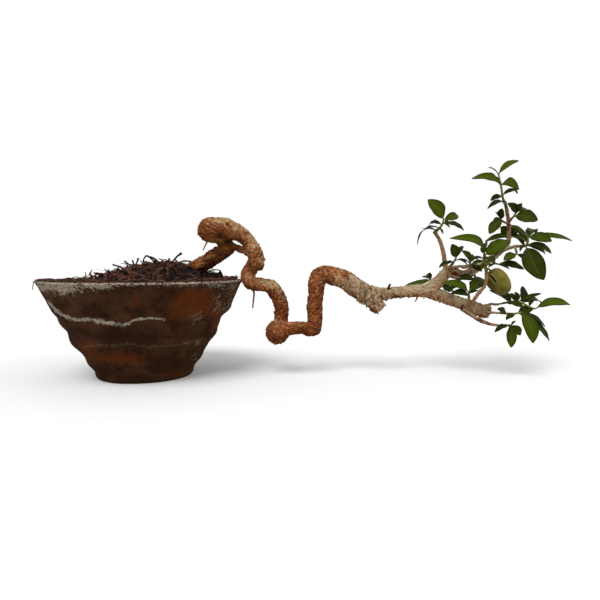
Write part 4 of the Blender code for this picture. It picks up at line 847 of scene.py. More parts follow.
class Finish:
    """A material under construction."""

    def __init__(self, name, roughness=0.8, specular=0.3):
        self.material = bpy.data.materials.new(name)
        self.material.use_nodes = True
        self.shader = self.material.node_tree.nodes["Principled BSDF"]
        self.shader.inputs["Roughness"].default_value = roughness
        self.shader.inputs["Specular IOR Level"].default_value = specular

    def node(self, kind, settings=None, sockets=None, output=0):
        """One output of a new node, its settings made first and then its sockets' values or links."""
        made = self.material.node_tree.nodes.new(kind)
        for key, value in (settings or {}).items():
            setattr(made, key, value)
        for key, value in (sockets or {}).items():
            self.put(made.inputs[key], value)
        return Field(self, made.outputs[output])

    def put(self, socket, value):
        """Links a field to a socket, or sets the socket's value."""
        if isinstance(value, Field):
            self.material.node_tree.links.new(value.socket, socket)
        elif socket.type == "RGBA":
            socket.default_value = (*value, 1.0)
        else:
            socket.default_value = value

    def attribute(self, name):
        return self.node("ShaderNodeAttribute", {"attribute_name": name}, output="Fac")

    def place(self, stretch=(1.0, 1.0, 1.0), slant=0.0):
        """The object's own coordinates, in metres, turned by a slant about Y and then stretched."""
        own = self.node("ShaderNodeTexCoord", output="Object")
        if slant:
            own = self.node("ShaderNodeMapping", {}, {"Vector": own, "Rotation": (0.0, slant, 0.0)})
        return self.node("ShaderNodeMapping", {}, {"Vector": own, "Scale": stretch})

    def grain(self, size, detail=4.0, stretch=(1.0, 1.0, 1.0), roughness=0.55, slant=0.0):
        """Cloudy noise from 0 to 1 whose lumps are about a size in millimetres."""
        sockets = {"Vector": self.place(stretch, slant), "Scale": 1 / (size * MM)}
        sockets |= {"Detail": detail, "Roughness": roughness}
        return self.node("ShaderNodeTexNoise", {}, sockets)

    def cells(self, size):
        """Distance from the middles in a pattern of cells about a size in millimetres."""
        return self.node("ShaderNodeTexVoronoi", {}, {"Vector": self.place(), "Scale": 1 / (size * MM)})

    def patch(self, name, cloud, raggedness, low, high):
        """The patches that an attribute holds, their edges made ragged by a noise."""
        return (self.attribute(name) + (cloud - 0.5) * raggedness).rising(low, high)

    def on_limb(self, stretch):
        """Coordinates in millimetres that follow a limb's own grain, stretched round and along it."""
        own = self.node("ShaderNodeAttribute", {"attribute_name": "grain"}, output="Vector")
        return self.node("ShaderNodeMapping", {}, {"Vector": own, "Scale": stretch})

    def mixed(self, factor, first, second):
        """A colour that goes from the first to the second as the factor goes from 0 to 1."""
        sockets = {0: factor, 6: first, 7: second}
        return self.node("ShaderNodeMix", {"data_type": "RGBA"}, sockets, output=2)

    def done(self, colour, roughness=None, height=None, depth=0.5):
        """Gives the shader its colour, its roughness and a bump that is a depth in millimetres high."""
        self.put(self.shader.inputs["Base Color"], colour)
        if roughness is not None:
            self.put(self.shader.inputs["Roughness"], roughness)
        if height is not None:
            sockets = {"Height": height, "Distance": depth * MM, "Strength": 1.0}
            self.put(self.shader.inputs["Normal"], self.node("ShaderNodeBump", {}, sockets))
        return self.material


def clay_finish(colours):
    """Unglazed brown clay with rust patches, pale mineral bands and scratches, painted shade below its ledges
    and a painted highlight along its lip.
    """
    f = Finish("ridged_clay", 0.85, 0.012)
    cloud = f.grain(16, 5)
    streak = f.grain(5, 4, (1.0, 1.0, 0.25))
    sand = f.grain(0.9, 3)
    ragged = f.grain(3.2, 6, roughness=0.7)
    fine = f.grain(1.3, 4, roughness=0.7)
    colour = f.mixed(cloud.rising(0.38, 0.64), colours.umber, colours.brown)
    band = f.grain(4.2, 5, (0.2, 0.2, 1.0), 0.65)
    colour = f.mixed(streak.rising(0.42, 0.7) * 0.3, colour, colours.olive)
    colour = f.mixed(band.rising(0.52, 0.64) * 0.4, colour, colours.shade)
    colour = f.mixed(band.rising(0.46, 0.34) * 0.3, colour, colours.brown)
    blot = (ragged - 0.5) * 1.1 + (streak - 0.5) * 1.0 + (cloud - 0.5) * 0.8
    rust = (f.attribute("rust") * 1.1 + blot).rising(0.12, 1.1)
    colour = f.mixed(rust * 0.85, colour, colours.rust)
    olive = (f.attribute("olive") + blot * 0.7).rising(0.35, 0.85)
    colour = f.mixed(olive * 0.55, colour, colours.olive)
    # Painted shade below the ledges and toward the foot, along with darker stains, from the dark marks
    dark = (f.attribute("dark") + blot * 0.6).rising(0.2, 1.0)
    colour = f.mixed(dark * 0.7, colour, colours.shade)
    colour = f.mixed(fine.rising(0.5, 0.72) * 0.25, colour, colours.shade)
    colour = f.mixed(fine.rising(0.5, 0.28) * 0.25, colour, colours.olive)
    speck = f.cells(2.6).rising(0.16, 0.05) * f.grain(9, 2).rising(0.5, 0.62)
    colour = f.mixed(speck * 0.3, colour, colours.mineral)
    wisp = f.grain(1.5, 2, (0.1, 0.4, 1.0), 0.5, math.radians(30)).rising(0.56, 0.68)
    cross = f.grain(1.4, 2, (0.1, 0.4, 1.0), 0.5, math.radians(62)).rising(0.58, 0.70)
    scratch = (wisp + cross * 0.7) * f.patch("scratch", ragged, 1.6, 0.15, 0.8)
    colour = f.mixed(scratch * 0.75, colour, colours.mineral)
    # The rim's crust, which above the lip level is also a painted highlight along the lip
    edge = f.attribute("rim")
    rim = (edge + (ragged - 0.5) * 2.4 + (fine - 0.5) * 1.4).rising(0.44, 0.92) * edge.rising(0.02, 0.25)
    colour = f.mixed(rim * 0.8, colour, f.mixed(fine.rising(0.42, 0.62), colours.mineral, colours.crust))
    colour = f.mixed(f.patch("faint", ragged, 3.0, 0.45, 1.0) * 0.12, colour, colours.mineral)
    laid = f.attribute("crust")
    crust = (laid + (ragged - 0.5) * 3.2 + (fine - 0.5) * 2.2).rising(0.36, 0.70) * laid.rising(0.0, 0.2)
    colour = f.mixed(crust * 0.85, colour, f.mixed(sand, colours.mineral, colours.crust))
    height = sand * 0.45 + fine * 0.6 + ragged * 0.5 + crust * 0.9 + rim * 0.4 - scratch * 0.5
    return f.done(colour, 0.72 + 0.2 * fine + 0.06 * rim, height, 0.5)


def soil_finish(colours):
    """Dark crumbly potting soil."""
    f = Finish("crumbly_soil", 0.95, 0.05)
    crumb = f.cells(2.2)
    tone = f.grain(3.0, 5)
    colour = f.mixed(tone.rising(0.3, 0.7), colours.dark, colours.brown)
    return f.done(colour, 0.95, crumb * -1.0 + tone, 1.2)


def fibre_finish(colours):
    """Dead roots and fibre: near black, purple brown and red brown, with a few straw-coloured ones."""
    f = Finish("matted_fibre", 0.75, 0.06)
    tone = f.attribute("tone")
    grain = f.grain(1.4, 4, roughness=0.65)
    mottle = (grain - 0.5) * 0.5
    colour = f.mixed((tone + mottle).rising(0.05, 0.5), colours.dark, colours.brown)
    colour = f.mixed((tone + mottle).rising(0.5, 0.8), colour, colours.red)
    colour = f.mixed((tone + mottle * 0.5).rising(0.84, 0.97), colour, colours.straw)
    return f.done(colour, 0.6 + 0.35 * grain, grain, 0.35)


def mesh_finish(colour):
    """Dull dark plastic of the drainage screen."""
    f = Finish("dark_mesh", 0.55, 0.4)
    grain = f.grain(0.8, 3)
    return f.done(f.mixed(grain, colour, [c * 1.8 for c in colour]), 0.45 + 0.25 * grain, grain, 0.05)


def bark_finish(colours):
    """Rough bark: rust brown at the loops, flaky grey tan further out, greenish on top, dark at the roots,
    with painted shade in its hollows, its grooves and behind the root band, and painted light on its upper
    faces and ridges.
    """
    f = Finish("rough_bark", 0.85, 0.0)
    relief = f.attribute("relief")
    top = f.attribute("top")
    cloud = f.grain(9, 4)
    mottle = f.grain(2.4, 6, roughness=0.7)
    fine = f.grain(0.8, 4, roughness=0.7)
    sockets = {"Vector": f.on_limb((0.5, 0.5, 0.07)), "Scale": 1.0, "Detail": 4.0, "Roughness": 0.65}
    strand = f.node("ShaderNodeTexNoise", {}, sockets)
    sockets = {"Vector": f.on_limb((0.22, 0.22, 0.17)), "Scale": 1.0, "Randomness": 0.8}
    edge = f.node("ShaderNodeTexVoronoi", {"feature": "DISTANCE_TO_EDGE"}, sockets)
    split = (edge + (mottle - 0.5) * 0.07).rising(0.10, 0.03) * f.attribute("cracked")
    warm = f.attribute("warm")
    colour = f.mixed((cloud * 0.5 + mottle * 0.6).rising(0.46, 0.66), colours.deep, colours.rust)
    # Lighter orange flecks, more of them on upward faces: the bark's own flecks, with painted light from
    # above
    light = (fine + mottle * 0.4 + top * 0.12 + warm * 0.25).rising(0.66, 0.98)
    colour = f.mixed(light * 0.6, colour, colours.orange)
    # Orange along the grain's raised ridges: the bark's own streaks, with a painted highlight on the ridges
    colour = f.mixed(strand.rising(0.53, 0.64) * (0.2 + 0.55 * warm), colour, colours.orange)
    colour = f.mixed(f.patch("ochre", mottle, 0.8, 0.3, 0.75) * 0.8, colour, colours.ochre)
    # Paler and greyer bark on raised and upward faces: the flaky bark's own colour, with painted light from
    # above
    pale = (f.attribute("pale") + (mottle - 0.5) * 0.9 + (relief - 0.5) * 0.9 + top * 0.15).rising(0.3, 0.85)
    tan = f.mixed((fine * 0.5 + mottle * 0.4 + top * 0.3).rising(0.28, 0.6), colours.tan, colours.grey)
    colour = f.mixed(pale * 0.92, colour, tan)
    under = ((mottle - 0.5) * 1.8 - top).rising(-0.25, 0.4) * pale * f.attribute("outer")
    colour = f.mixed(under * 0.85, colour, f.mixed(fine.rising(0.35, 0.6), colours.orange, colours.grey))
    moss = f.attribute("moss") + (mottle - 0.5) * 1.6 + (relief - 0.5) * 0.9 + (top - 0.5) * 0.4
    colour = f.mixed(moss.rising(0.25, 0.95) * 0.75, colour, colours.moss)
    # Dark marks: painted shade on the lower stem behind the root band, and darker wood at the neck, under the
    # bends and on the roots in the air
    colour = f.mixed(f.patch("dark", mottle, 0.6, 0.3, 0.85) * 0.8, colour, colours.shade)
    # Darker in the grooves between the ridges: painted shade, with the grooves' own darker bark
    groove_dark_and_shade = strand.rising(0.49, 0.38) * (0.6 - 0.05 * warm - 0.45 * pale)
    colour = f.mixed(groove_dark_and_shade, colour, f.mixed(warm, colours.deep, colours.shade))
    # Fine spots, darker where the bump sinks and lighter where it rises: painted shade and painted highlight,
    # over the scaly bark's own flecks
    crisp = f.grain(2.1, 3, roughness=0.6)
    # The colour of the painted shade in the bark's hollows
    hollow = f.mixed(pale, colours.shade, colours.deep)
    colour = f.mixed(crisp.rising(0.56, 0.66) * (0.4 - 0.2 * pale), colour, hollow)
    scaly_and_highlight = crisp.rising(0.44, 0.34) * (0.1 + 0.5 * warm)
    colour = f.mixed(scaly_and_highlight, colour, f.mixed(warm, colours.orange, colours.grey))
    colour = f.mixed(split * 0.65, colour, colours.shade)
    colour = f.mixed(fine.rising(0.52, 0.68) * (0.5 - 0.25 * pale), colour, colours.deep)
    colour = f.mixed(f.patch("sprout", mottle, 0.5, 0.3, 0.7), colour, colours.sprout)
    # Painted shade: the bark darkens where its relief sinks, in its cracks and hollows
    colour = f.mixed(relief.rising(0.36, 0.08) * (0.75 - 0.5 * pale), colour, hollow)
    height = mottle * 0.7 + fine * 0.5 + strand * 1.6 - split * 0.7 - crisp
    return f.done(colour, 0.7 + 0.25 * fine, height, 0.8)


def leaf_finish(colours):
    """Semi-gloss leaves: blades from near black to yellow green, pale ribs and duller undersides, with
    painted shade toward their margins.
    """
    f = Finish("leaf_blade", 0.45, 0.02)
    tone = f.attribute("tone")
    under = f.attribute("under")
    rib = f.attribute("rib")
    flat = f.node("ShaderNodeUVMap", {"uv_map": "leaf_uv"})
    across = f.node("ShaderNodeSeparateXYZ", {}, {0: flat}, output="X")
    along = f.node("ShaderNodeSeparateXYZ", {}, {0: flat}, output="Y")
    out = (across - 0.5).absolute() * 2
    mottle = f.grain(3.5, 4)
    speck = f.grain(0.9, 3, roughness=0.7)
    shade = tone + (mottle - 0.5) * 0.16 + (speck - 0.5) * 0.12
    colour = f.mixed(shade.rising(0.05, 0.5), colours.dark, colours.green)
    colour = f.mixed(shade.rising(0.4, 0.85), colour, colours.bright)
    colour = f.mixed(shade.rising(0.8, 1.15), colour, colours.lit)
    fan = ((along + out * 0.10) * 9.0).part()
    vein = ((fan - 0.5).absolute() * 2).rising(0.86, 0.98) * out.rising(1.0, 0.55)
    colour = f.mixed(vein * 0.16, colour, colours.vein)
    midrib = out.rising(0.09, 0.02) * along.rising(0.98, 0.7)
    colour = f.mixed(midrib * (0.12 + tone * 0.4), colour, colours.vein)
    # Painted shade: the blade darkens toward its margins
    colour = f.mixed(out.rising(0.5, 1.0) * 0.6, colour, colours.dark)
    fleck = f.cells(1.7).rising(0.2, 0.08) * tone.rising(0.4, 0.1)
    colour = f.mixed(fleck * 0.45, colour, colours.vein)
    colour = f.mixed(under * 0.5, colour, colours.under)
    colour = f.mixed(rib * 0.6, colour, colours.vein)
    roughness = 0.36 + 0.16 * mottle + 0.2 * under
    return f.done(colour, roughness, midrib * -0.8 - vein * 0.6 + speck * 0.35, 0.22)


def stem_finish(colours):
    """Young stems, brown where they leave the wood and green at their tips."""
    f = Finish("green_stem", 0.6, 0.05)
    grain = f.grain(1.2, 4)
    colour = f.mixed(f.patch("age", grain, 0.5, 0.25, 0.75), colours.stem, colours.wood)
    return f.done(colour, 0.5 + 0.25 * grain, grain, 0.2)


def fruit_finish(colours):
    """Smooth olive skin, brownish with painted shade on its lower left, with a dark sunken scar: painted
    shade inside it and a painted highlight on its pale lips.
    """
    f = Finish("olive_skin", 0.42, 0.07)
    cloud = f.grain(7, 3)
    mottle = f.grain(2.0, 5, roughness=0.6)
    speck = f.cells(1.6).rising(0.14, 0.04)
    colour = f.mixed((cloud * 0.6 + mottle * 0.4).rising(0.35, 0.65), colours.olive, colours.yellow)
    # Painted shade: the fruit turns darker brown on its lower left
    colour = f.mixed(f.patch("blush", mottle, 0.5, 0.3, 0.8) * 0.7, colour, colours.brown)
    colour = f.mixed(speck * 0.25, colour, colours.pale)
    # The scar's pale lips and near-black inside: a painted highlight on the raised lips and painted shade in
    # the sunken scar, with the scar's own dark colour
    colour = f.mixed(f.attribute("lip") * 0.55, colour, colours.pale)
    colour = f.mixed(f.attribute("scar").rising(0.35, 0.7), colour, colours.scar)
    return f.done(colour, 0.36 + 0.22 * mottle, mottle * 0.7 + cloud, 0.3)


# Sizes and colours that a user would change


def tint(name, description, default):
    """A colour of a settings group, linear red, green and blue."""
    return FloatVectorProperty(
        name=name, description=description, subtype="COLOR", size=3, min=0.0, max=1.0, default=default,
    )


def length(name, description, default):
    """A small length of a settings group, in metres."""
    return FloatProperty(
        name=name, description=description, subtype="DISTANCE", unit="LENGTH", min=0.0, default=default,
        precision=5,
    )


def number(name, description, default):
    """A number of parts of a settings group."""
    return IntProperty(name=name, description=description, min=0, default=default)


def amount(name, description, default):
    """A share or a strength of a settings group."""
    return FloatProperty(name=name, description=description, min=0.0, default=default)


class BonsaiBowl(bpy.types.PropertyGroup):
    """Sizes and colours of the clay bowl."""

    rings: IntProperty(name="Steps", description="Steps of the turned bowl", min=48, default=240)
    lump: length("Lumps", "How far the hand-pressed clay swells and sinks", 0.0006)
    throwing: length("Throwing lines", "Depth of the fine lines round the bowl", 0.00016)
    umber: tint("Umber", "Darker clay", (0.0190, 0.0072, 0.0040))
    brown: tint("Brown", "Lighter clay", (0.0450, 0.0180, 0.0085))
    rust: tint("Rust", "Rust-orange patches", (0.0700, 0.0165, 0.0028))
    olive: tint("Olive", "Olive-brown weathering", (0.0370, 0.0205, 0.0090))
    # Soot: the darkest stains, and also the colour of the painted shade below the ledges and toward the foot
    shade: tint("Soot", "Darkest stains", (0.0070, 0.0032, 0.0020))
    # Mineral and crust are also the colours of the painted highlight along the lip
    mineral: tint("Mineral", "Dried mineral at the rim and in scratches", (0.1700, 0.1280, 0.0920))
    crust: tint("Crust", "White crust along the upper ledge", (0.3300, 0.2900, 0.2350))


class BonsaiPlanting(bpy.types.PropertyGroup):
    """Sizes and colours of the root mat, the soil and the screen."""

    roots: number("Roots", "Number of thicker dead roots", 150)
    fibres: number("Fibres", "Number of fibres", 620)
    sprigs: number("Sprigs", "Number of short roots that stand up", 80)
    hairs: number("Hairs", "Number of fine hairs", 150)
    litter: number("Litter", "Number of bits of fibre along the rim", 400)
    chips: number("Chips", "Number of bark chips", 110)
    crumbs: number("Crumbs", "Number of soil crumbs", 900)
    dark: tint("Dark", "Darkest fibre", (0.0080, 0.0036, 0.0033))
    brown: tint("Brown", "Brown fibre", (0.0530, 0.0265, 0.0180))
    red: tint("Red", "Red-brown fibre", (0.0920, 0.0340, 0.0190))
    straw: tint("Straw", "Straw-coloured chips and fibre", (0.2500, 0.1350, 0.0540))
    screen: tint("Screen", "Plastic of the drainage screen", (0.0200, 0.0300, 0.0200))


class BonsaiWood(bpy.types.PropertyGroup):
    """Sizes and colours of the trunk, the branches and the roots in the air."""

    trunk_grid: length("Trunk grid", "Grid on which the trunk's skin is drawn tight", 0.0007)
    branch_grid: length("Branch grid", "Grid on which the branches' skin is drawn tight", 0.0005)
    rough: length("Roughness", "Height of the bark's lumps", 0.00050)
    wrinkle: length("Wrinkles", "Height of the wrinkles across a limb", 0.00050)
    plate: length("Plates", "Height of the cracked plates", 0.00036)
    flakes: number("Flakes", "Number of loose flakes of bark", 1500)
    deep: tint("Deep", "Darker bark", (0.0600, 0.0150, 0.0042))
    rust: tint("Rust", "Rust-brown bark", (0.1480, 0.0400, 0.0120))
    orange: tint("Orange", "Lighter orange bark", (0.3300, 0.1260, 0.0480))
    ochre: tint("Ochre", "Yellow-brown bark of the root", (0.2200, 0.1000, 0.0220))
    tan: tint("Tan", "Tan of the flaky bark", (0.2500, 0.1330, 0.0670))
    grey: tint("Grey", "Grey beige of the flaky bark", (0.3000, 0.2430, 0.1500))
    moss: tint("Moss", "Greenish beige on top", (0.2900, 0.2200, 0.1180))
    sprout: tint("Sprout", "Twigs still green at their ends", (0.0900, 0.1000, 0.0180))
    # Shade: the colour of the cracks, and of the painted shade in the bark's hollows and grooves and on the
    # lower stem behind the root band
    shade: tint("Shade", "Cracks and damp wood", (0.0140, 0.0045, 0.0020))


class BonsaiShoots(bpy.types.PropertyGroup):
    """Sizes and colours of the leaves and green stems."""

    thickness: length("Thickness", "Thickness of a blade", 0.00032)
    fold: amount("Fold", "How steeply a blade rises from its midrib", 0.22)
    wave: amount("Wave", "Waviness of the margins, as a share of the half width", 0.06)
    dark: tint("Dark", "Darkest blades", (0.0092, 0.0105, 0.0016))
    green: tint("Green", "Middle green", (0.0210, 0.0310, 0.0014))
    bright: tint("Bright", "Young yellow green", (0.0350, 0.0520, 0.0018))
    lit: tint("Lit", "Young leaves that the light shines through", (0.0720, 0.0880, 0.0090))
    vein: tint("Vein", "Ribs and stalks", (0.0850, 0.1080, 0.0160))
    under: tint("Underside", "Duller underside", (0.0340, 0.0430, 0.0070))
    stem: tint("Stem", "Green stem", (0.0950, 0.1250, 0.0180))
    wood: tint("Stem wood", "Brown foot of a stem", (0.0950, 0.0600, 0.0300))


class BonsaiFruit(bpy.types.PropertyGroup):
    """Colours of the fruit."""

    olive: tint("Olive", "Greener skin", (0.0660, 0.0560, 0.0070))
    yellow: tint("Yellow", "Riper skin", (0.1350, 0.1150, 0.0150))
    # Brown: the colour of the painted shade on the fruit's lower left
    brown: tint("Brown", "Blush", (0.0450, 0.0280, 0.0050))
    # Pale and scar: also the colours of the painted highlight on the scar's lips and the painted shade inside
    # it
    pale: tint("Pale", "Dots and the scar's lips", (0.2300, 0.2000, 0.0700))
    scar: tint("Scar", "Inside of the scar", (0.0087, 0.0068, 0.0031))


class BonsaiStage(bpy.types.PropertyGroup):
    """Floor and studio light."""

    floor: tint("Floor", "Colour of the floor", (0.55, 0.55, 0.55))
    sky: amount("Sky", "Brightness all round", 1.0)
    key: amount("Key light", "Strength of the main light", 3.2)
    fill: amount("Fill light", "Strength of the second light", 0.7)


# The bowl


def wobble(angle):
    """How far the hand-made bowl is out of round, as a factor on its radius."""
    return 1.0 + sum(share * math.sin(waves * angle + start) for waves, start, share in OUT_OF_ROUND)


def ledge(angle, height):
    """How far the clay's ledges stand out at a place on the outside, in millimetres."""
    out = 0.0
    for middle, tilt, depth in LEDGES:
        line = middle + tilt * (math.sin(angle + LEDGE_START) + LEDGE_WAVER * math.sin(3 * angle + middle))
        away = (height - line) / LEDGE_SOFTNESS
        out += depth * (math.exp(-(away ** 2)) - 0.7 * math.exp(-((away + LEDGE_HOLLOW) ** 2)))
    return out * min(1.0, height / LEDGE_FADE, (RIM_HEIGHT - height) / LEDGE_FADE)


def bowl_outline():
    """The turned outline, radius and height in millimetres: the outside up to the rim, then the rest."""
    path = [(Vector((radius, 0.0, height)), 0.0) for radius, height in BOWL_PROFILE]
    outside = [(place.x, place.z) for place, _ in stations(path, 1.3)]
    rest = []
    for edge, side, turns in ((RIM_RADIUS, -1, (30, 60, 90)), (RIM_RADIUS - BOWL_WALL, 1, (90, 60, 30, 0))):
        for angle in map(math.radians, turns):
            radius = edge + side * RIM_ROUNDING * (1 - math.cos(angle))
            rest.append((radius, RIM_HEIGHT + RIM_ROUNDING * math.sin(angle)))
    inner = [(radius - BOWL_WALL, height) for radius, height in reversed(BOWL_PROFILE[3:-1:3])]
    rest += [*inner, (inner[-1][0] - FLOOR_CORNER, BOWL_FLOOR), (0.0, BOWL_FLOOR)]
    return [(0.0, 0.0), *outside], rest


def turned_bowl(sizes):
    """The bowl's mesh, with its ledges, lumps and throwing lines and its two drain holes."""
    bm = bmesh.new()
    skin = bm.verts.layers.float.new("skin")
    outside, rest = bowl_outline()
    chain = [bm.verts.new((radius, 0.0, height)) for radius, height in (*outside, *rest)]
    for vertex in chain[:len(outside)]:
        vertex[skin] = 1.0
    turn_round(bm, chain, sizes.rings)
    for vertex in bm.verts:
        place = vertex.co.copy()
        radius = math.hypot(place.x, place.y)
        angle = math.atan2(place.y, place.x)
        lump = lumps(place, BOWL_LUMPS)
        line = noise.noise(Vector((math.cos(angle), math.sin(angle), place.z / 1.9)))
        out = 0.0
        if vertex[skin] and place.z > 0.5:
            out = ledge(angle, place.z) + (sizes.lump * lump + sizes.throwing * line) / MM
        elif place.z > MAT_LEVEL:
            place.z += 0.35 * noise.noise(place / 6)
        radius = radius * wobble(angle) + out
        vertex.co = Vector((radius * math.cos(angle), radius * math.sin(angle), place.z)) * MM
    bmesh.ops.recalc_face_normals(bm, faces=bm.faces[:])
    drills = bmesh.new()
    for side in (-1, 1):
        bmesh.ops.create_cone(
            drills, cap_ends=True, segments=40, radius1=DRAIN_RADIUS * MM, radius2=DRAIN_RADIUS * MM,
            depth=3 * BOWL_FLOOR * MM, matrix=Matrix.Translation((side * DRAIN_SPACING / 2 * MM, 0, 0)),
        )
    drill = bpy.data.objects.new("drill", as_mesh(drills, "drill"))
    bpy.context.scene.collection.objects.link(drill)
    settings = {"operation": "DIFFERENCE", "object": drill, "solver": "MANIFOLD"}
    mesh = shaped_by(as_mesh(bm, "bowl"), [("BOOLEAN", settings)])
    bpy.data.objects.remove(drill)
    return mesh


def paint_bowl(mesh):
    """Patches, crust and scratches, painted shade below the ledges and a painted highlight along the lip, the
    back of the bowl marked as its front is.
    """
    places = vertex_places(mesh)
    places[:, 1] = -np.abs(places[:, 1])
    points = drawing_places(places)
    for name, marks in BOWL_MARKS.items():
        paint(mesh, name, covered(points, marks))
    radius = np.hypot(places[:, 0], places[:, 1]) / MM
    level = places[:, 2] / MM
    radii, heights = zip(*BOWL_PROFILE)
    outside = radius > np.interp(level, heights, radii) - 0.6 * BOWL_WALL
    # Above the lip level the rim is painted pale all round: a painted highlight along the lip, with crust
    rim = np.maximum(covered(points, RIM_MARKS), np.where(level > LIP_LEVEL, LIP_CRUST_AND_HIGHLIGHT, 0.0))
    paint(mesh, "rim", np.where(outside, rim, INSIDE_CRUST))
    paint(mesh, "crust", np.where(outside, beside(points, CRUST_LINE), 0.0))
    paint(mesh, "faint", beside(points, FAINT_LINE))


class BONSAI_OT_bowl(bpy.types.Operator):
    """Turns the clay bowl and paints its patches and crust."""

    bl_idname = "bonsai.bowl"
    bl_label = "Clay Bowl"

    def execute(self, context):
        sizes = context.scene.bonsai_bowl
        mesh = turned_bowl(sizes)
        paint_bowl(mesh)
        add_piece("clay_bowl", mesh, [clay_finish(sizes)], "pot")
        return {"FINISHED"}


# The soil, the screen and the root mat


def heap_level(x, y):
    """Height of the root mat's surface, in millimetres: a heap round the stem, thin out to the rim."""
    east = (x - MOUND_CENTRE[0]) / MOUND_REACH[0]
    north = (y - MOUND_CENTRE[1]) / MOUND_REACH[1]
    heap = MOUND_HEIGHT * 0.85 * math.exp(-(math.hypot(east - 0.1, north) ** MOUND_STEEPNESS))
    rough = 1.6 * noise.noise(Vector((x, y, 0.0)) / 9) * min(1.0, 0.35 + heap / 8.0)
    east, north = ((c - middle) / HOLLOW_REACH for c, middle in zip((x, y), HOLLOW_PLACE))
    hollow = HOLLOW_DEPTH * math.exp(-(east ** 2 + north ** 2))
    return MAT_EDGE + max(0.0, heap - hollow) + rough


def heap_mesh():
    """The body of the root mat, under its loose roots and fibres."""
    bm = bmesh.new()
    outline = [(0.0, MAT_FOOT), (MAT_REACH - 2.2, MAT_FOOT)]
    outline += [(MAT_REACH * step / MAT_ROWS, MAT_EDGE) for step in range(MAT_ROWS, -1, -1)]
    turn_round(bm, [bm.verts.new((radius, 0.0, height)) for radius, height in outline], MAT_TURNS)
    for vertex in bm.verts:
        place = vertex.co.copy()
        if place.z > MAT_FOOT + 1:
            fade = smooth_step(0.0, 3.0, MAT_REACH - math.hypot(place.x, place.y))
            lump = 0.9 * noise.noise(place / 3.1) + 0.8 * abs(noise.noise(place / 1.7))
            place.z = MAT_EDGE + fade * (heap_level(place.x, place.y) + lump - MAT_EDGE)
        angle = math.atan2(place.y, place.x)
        vertex.co = Vector((place.x * wobble(angle), place.y * wobble(angle), place.z)) * MM
    bmesh.ops.recalc_face_normals(bm, faces=bm.faces[:])
    mark(bm, "tone", 0.02)
    return as_mesh(bm, "root_heap")


def on_heap(draw, scatter, reach):
    """A random place of the mat, within a reach of the bowl's axis, in millimetres."""
    while True:
        if draw.random() < scatter - 0.4:
            x, y = draw.uniform(-reach, reach), draw.uniform(-reach, reach)
        else:
            x = MOUND_CENTRE[0] + draw.gauss(0.0, 0.5) * MOUND_REACH[0]
            y = MOUND_CENTRE[1] + draw.gauss(0.0, 0.5) * MOUND_REACH[1]
        if math.hypot(x, y) < reach:
            return x, y


def strand_line(draw, kind):
    """The places and radii of one strand of the mat, lying in waves over the heap."""
    x, y = on_heap(draw, kind["scatter"], kind["limit"])
    heading = draw.uniform(0, math.tau)
    reach = draw.uniform(*kind["reach"])
    lift = draw.uniform(*kind["lift"])
    rise = draw.uniform(*kind["rise"])
    free = draw.random() < kind["free"]
    radius = draw.uniform(*kind["radius"]) * MM
    steps = kind["steps"]
    line = []
    for step in range(steps + 1):
        t = step / steps
        if math.hypot(x, y) > kind["limit"]:
            break
        level = heap_level(x, y)
        if not free:
            top = level + lift + rise * math.sin(math.pi * t)
        elif step == 0:
            top = level + lift
        else:
            top = max(line[-1][0].z / MM + rise / steps + draw.uniform(-0.4, 0.4), level + lift)
        line.append((Vector((x, y, top)) * MM, radius * (1 - 0.6 * t)))
        heading += draw.gauss(0.0, kind["curl"])
        x += math.cos(heading) * reach / steps
        y += math.sin(heading) * reach / steps
    return line


# Tones of the mat's strands, from nearly black at 0 to straw at 1
STRAND_TONES = (0.02, 0.05, 0.1, 0.15, 0.22, 0.3, 0.4, 0.5, 0.6, 0.7)

# The mat's strands by kind, their lengths in millimetres: limit is how far out they lie, reach how long they
# are, lift how high they start over the heap and rise how much higher they go. scatter is how evenly they
# lie, and free the share of them that rise at one end only
STRAND_KINDS = {
    "roots": {
        "scatter": 0.5, "limit": 80, "reach": (12, 34), "lift": (-0.8, 2.2), "rise": (0, 7), "free": 0.25,
        "radius": (0.6, 1.5), "steps": 12, "curl": 0.42, "sides": 6, "tones": (*STRAND_TONES, 0.78),
    },
    "sprigs": {
        "scatter": 0.5, "limit": 76, "reach": (5, 16), "lift": (-0.5, 1.5), "rise": (3, 9), "free": 1.0,
        "radius": (0.7, 1.4), "steps": 10, "curl": 0.8, "sides": 6, "tones": STRAND_TONES,
    },
    "fibres": {
        "scatter": 0.62, "limit": 84, "reach": (10, 34), "lift": (-0.3, 1.8), "rise": (0, 6), "free": 0.3,
        "radius": (0.3, 0.75), "steps": 11, "curl": 0.5, "sides": 5,
        "tones": (*STRAND_TONES, 0.74, 0.84, 0.9),
    },
    "hairs": {
        "scatter": 0.7, "limit": 86, "reach": (6, 22), "lift": (0.0, 2.0), "rise": (0, 8), "free": 0.5,
        "radius": (0.12, 0.3), "steps": 8, "curl": 0.5, "sides": 4, "tones": (*STRAND_TONES, 0.8),
    },
}

# Chips and crumbs: their length in millimetres, how evenly they lie and how far out, how thick they are as a
# share of their length, their tones, and the angle in degrees over which their edges are sharp
CHIP_KINDS = {
    "chips": {
        "size": (2.5, 7.0), "scatter": 0.6, "limit": 78, "flat": (0.15, 0.35),
        "tones": (0.3, 0.55, 0.7, 0.8, 0.95), "crease": 20,
    },
    "crumbs": {
        "size": (0.9, 2.6), "scatter": 1.1, "limit": 85, "flat": (0.5, 0.9),
        "tones": (0.1, 0.3, 0.45, 0.6, 0.75), "crease": 30,
    },
}

# How wide chips and crumbs are, as a share of their length
CHIP_WIDTH = (0.45, 0.8)

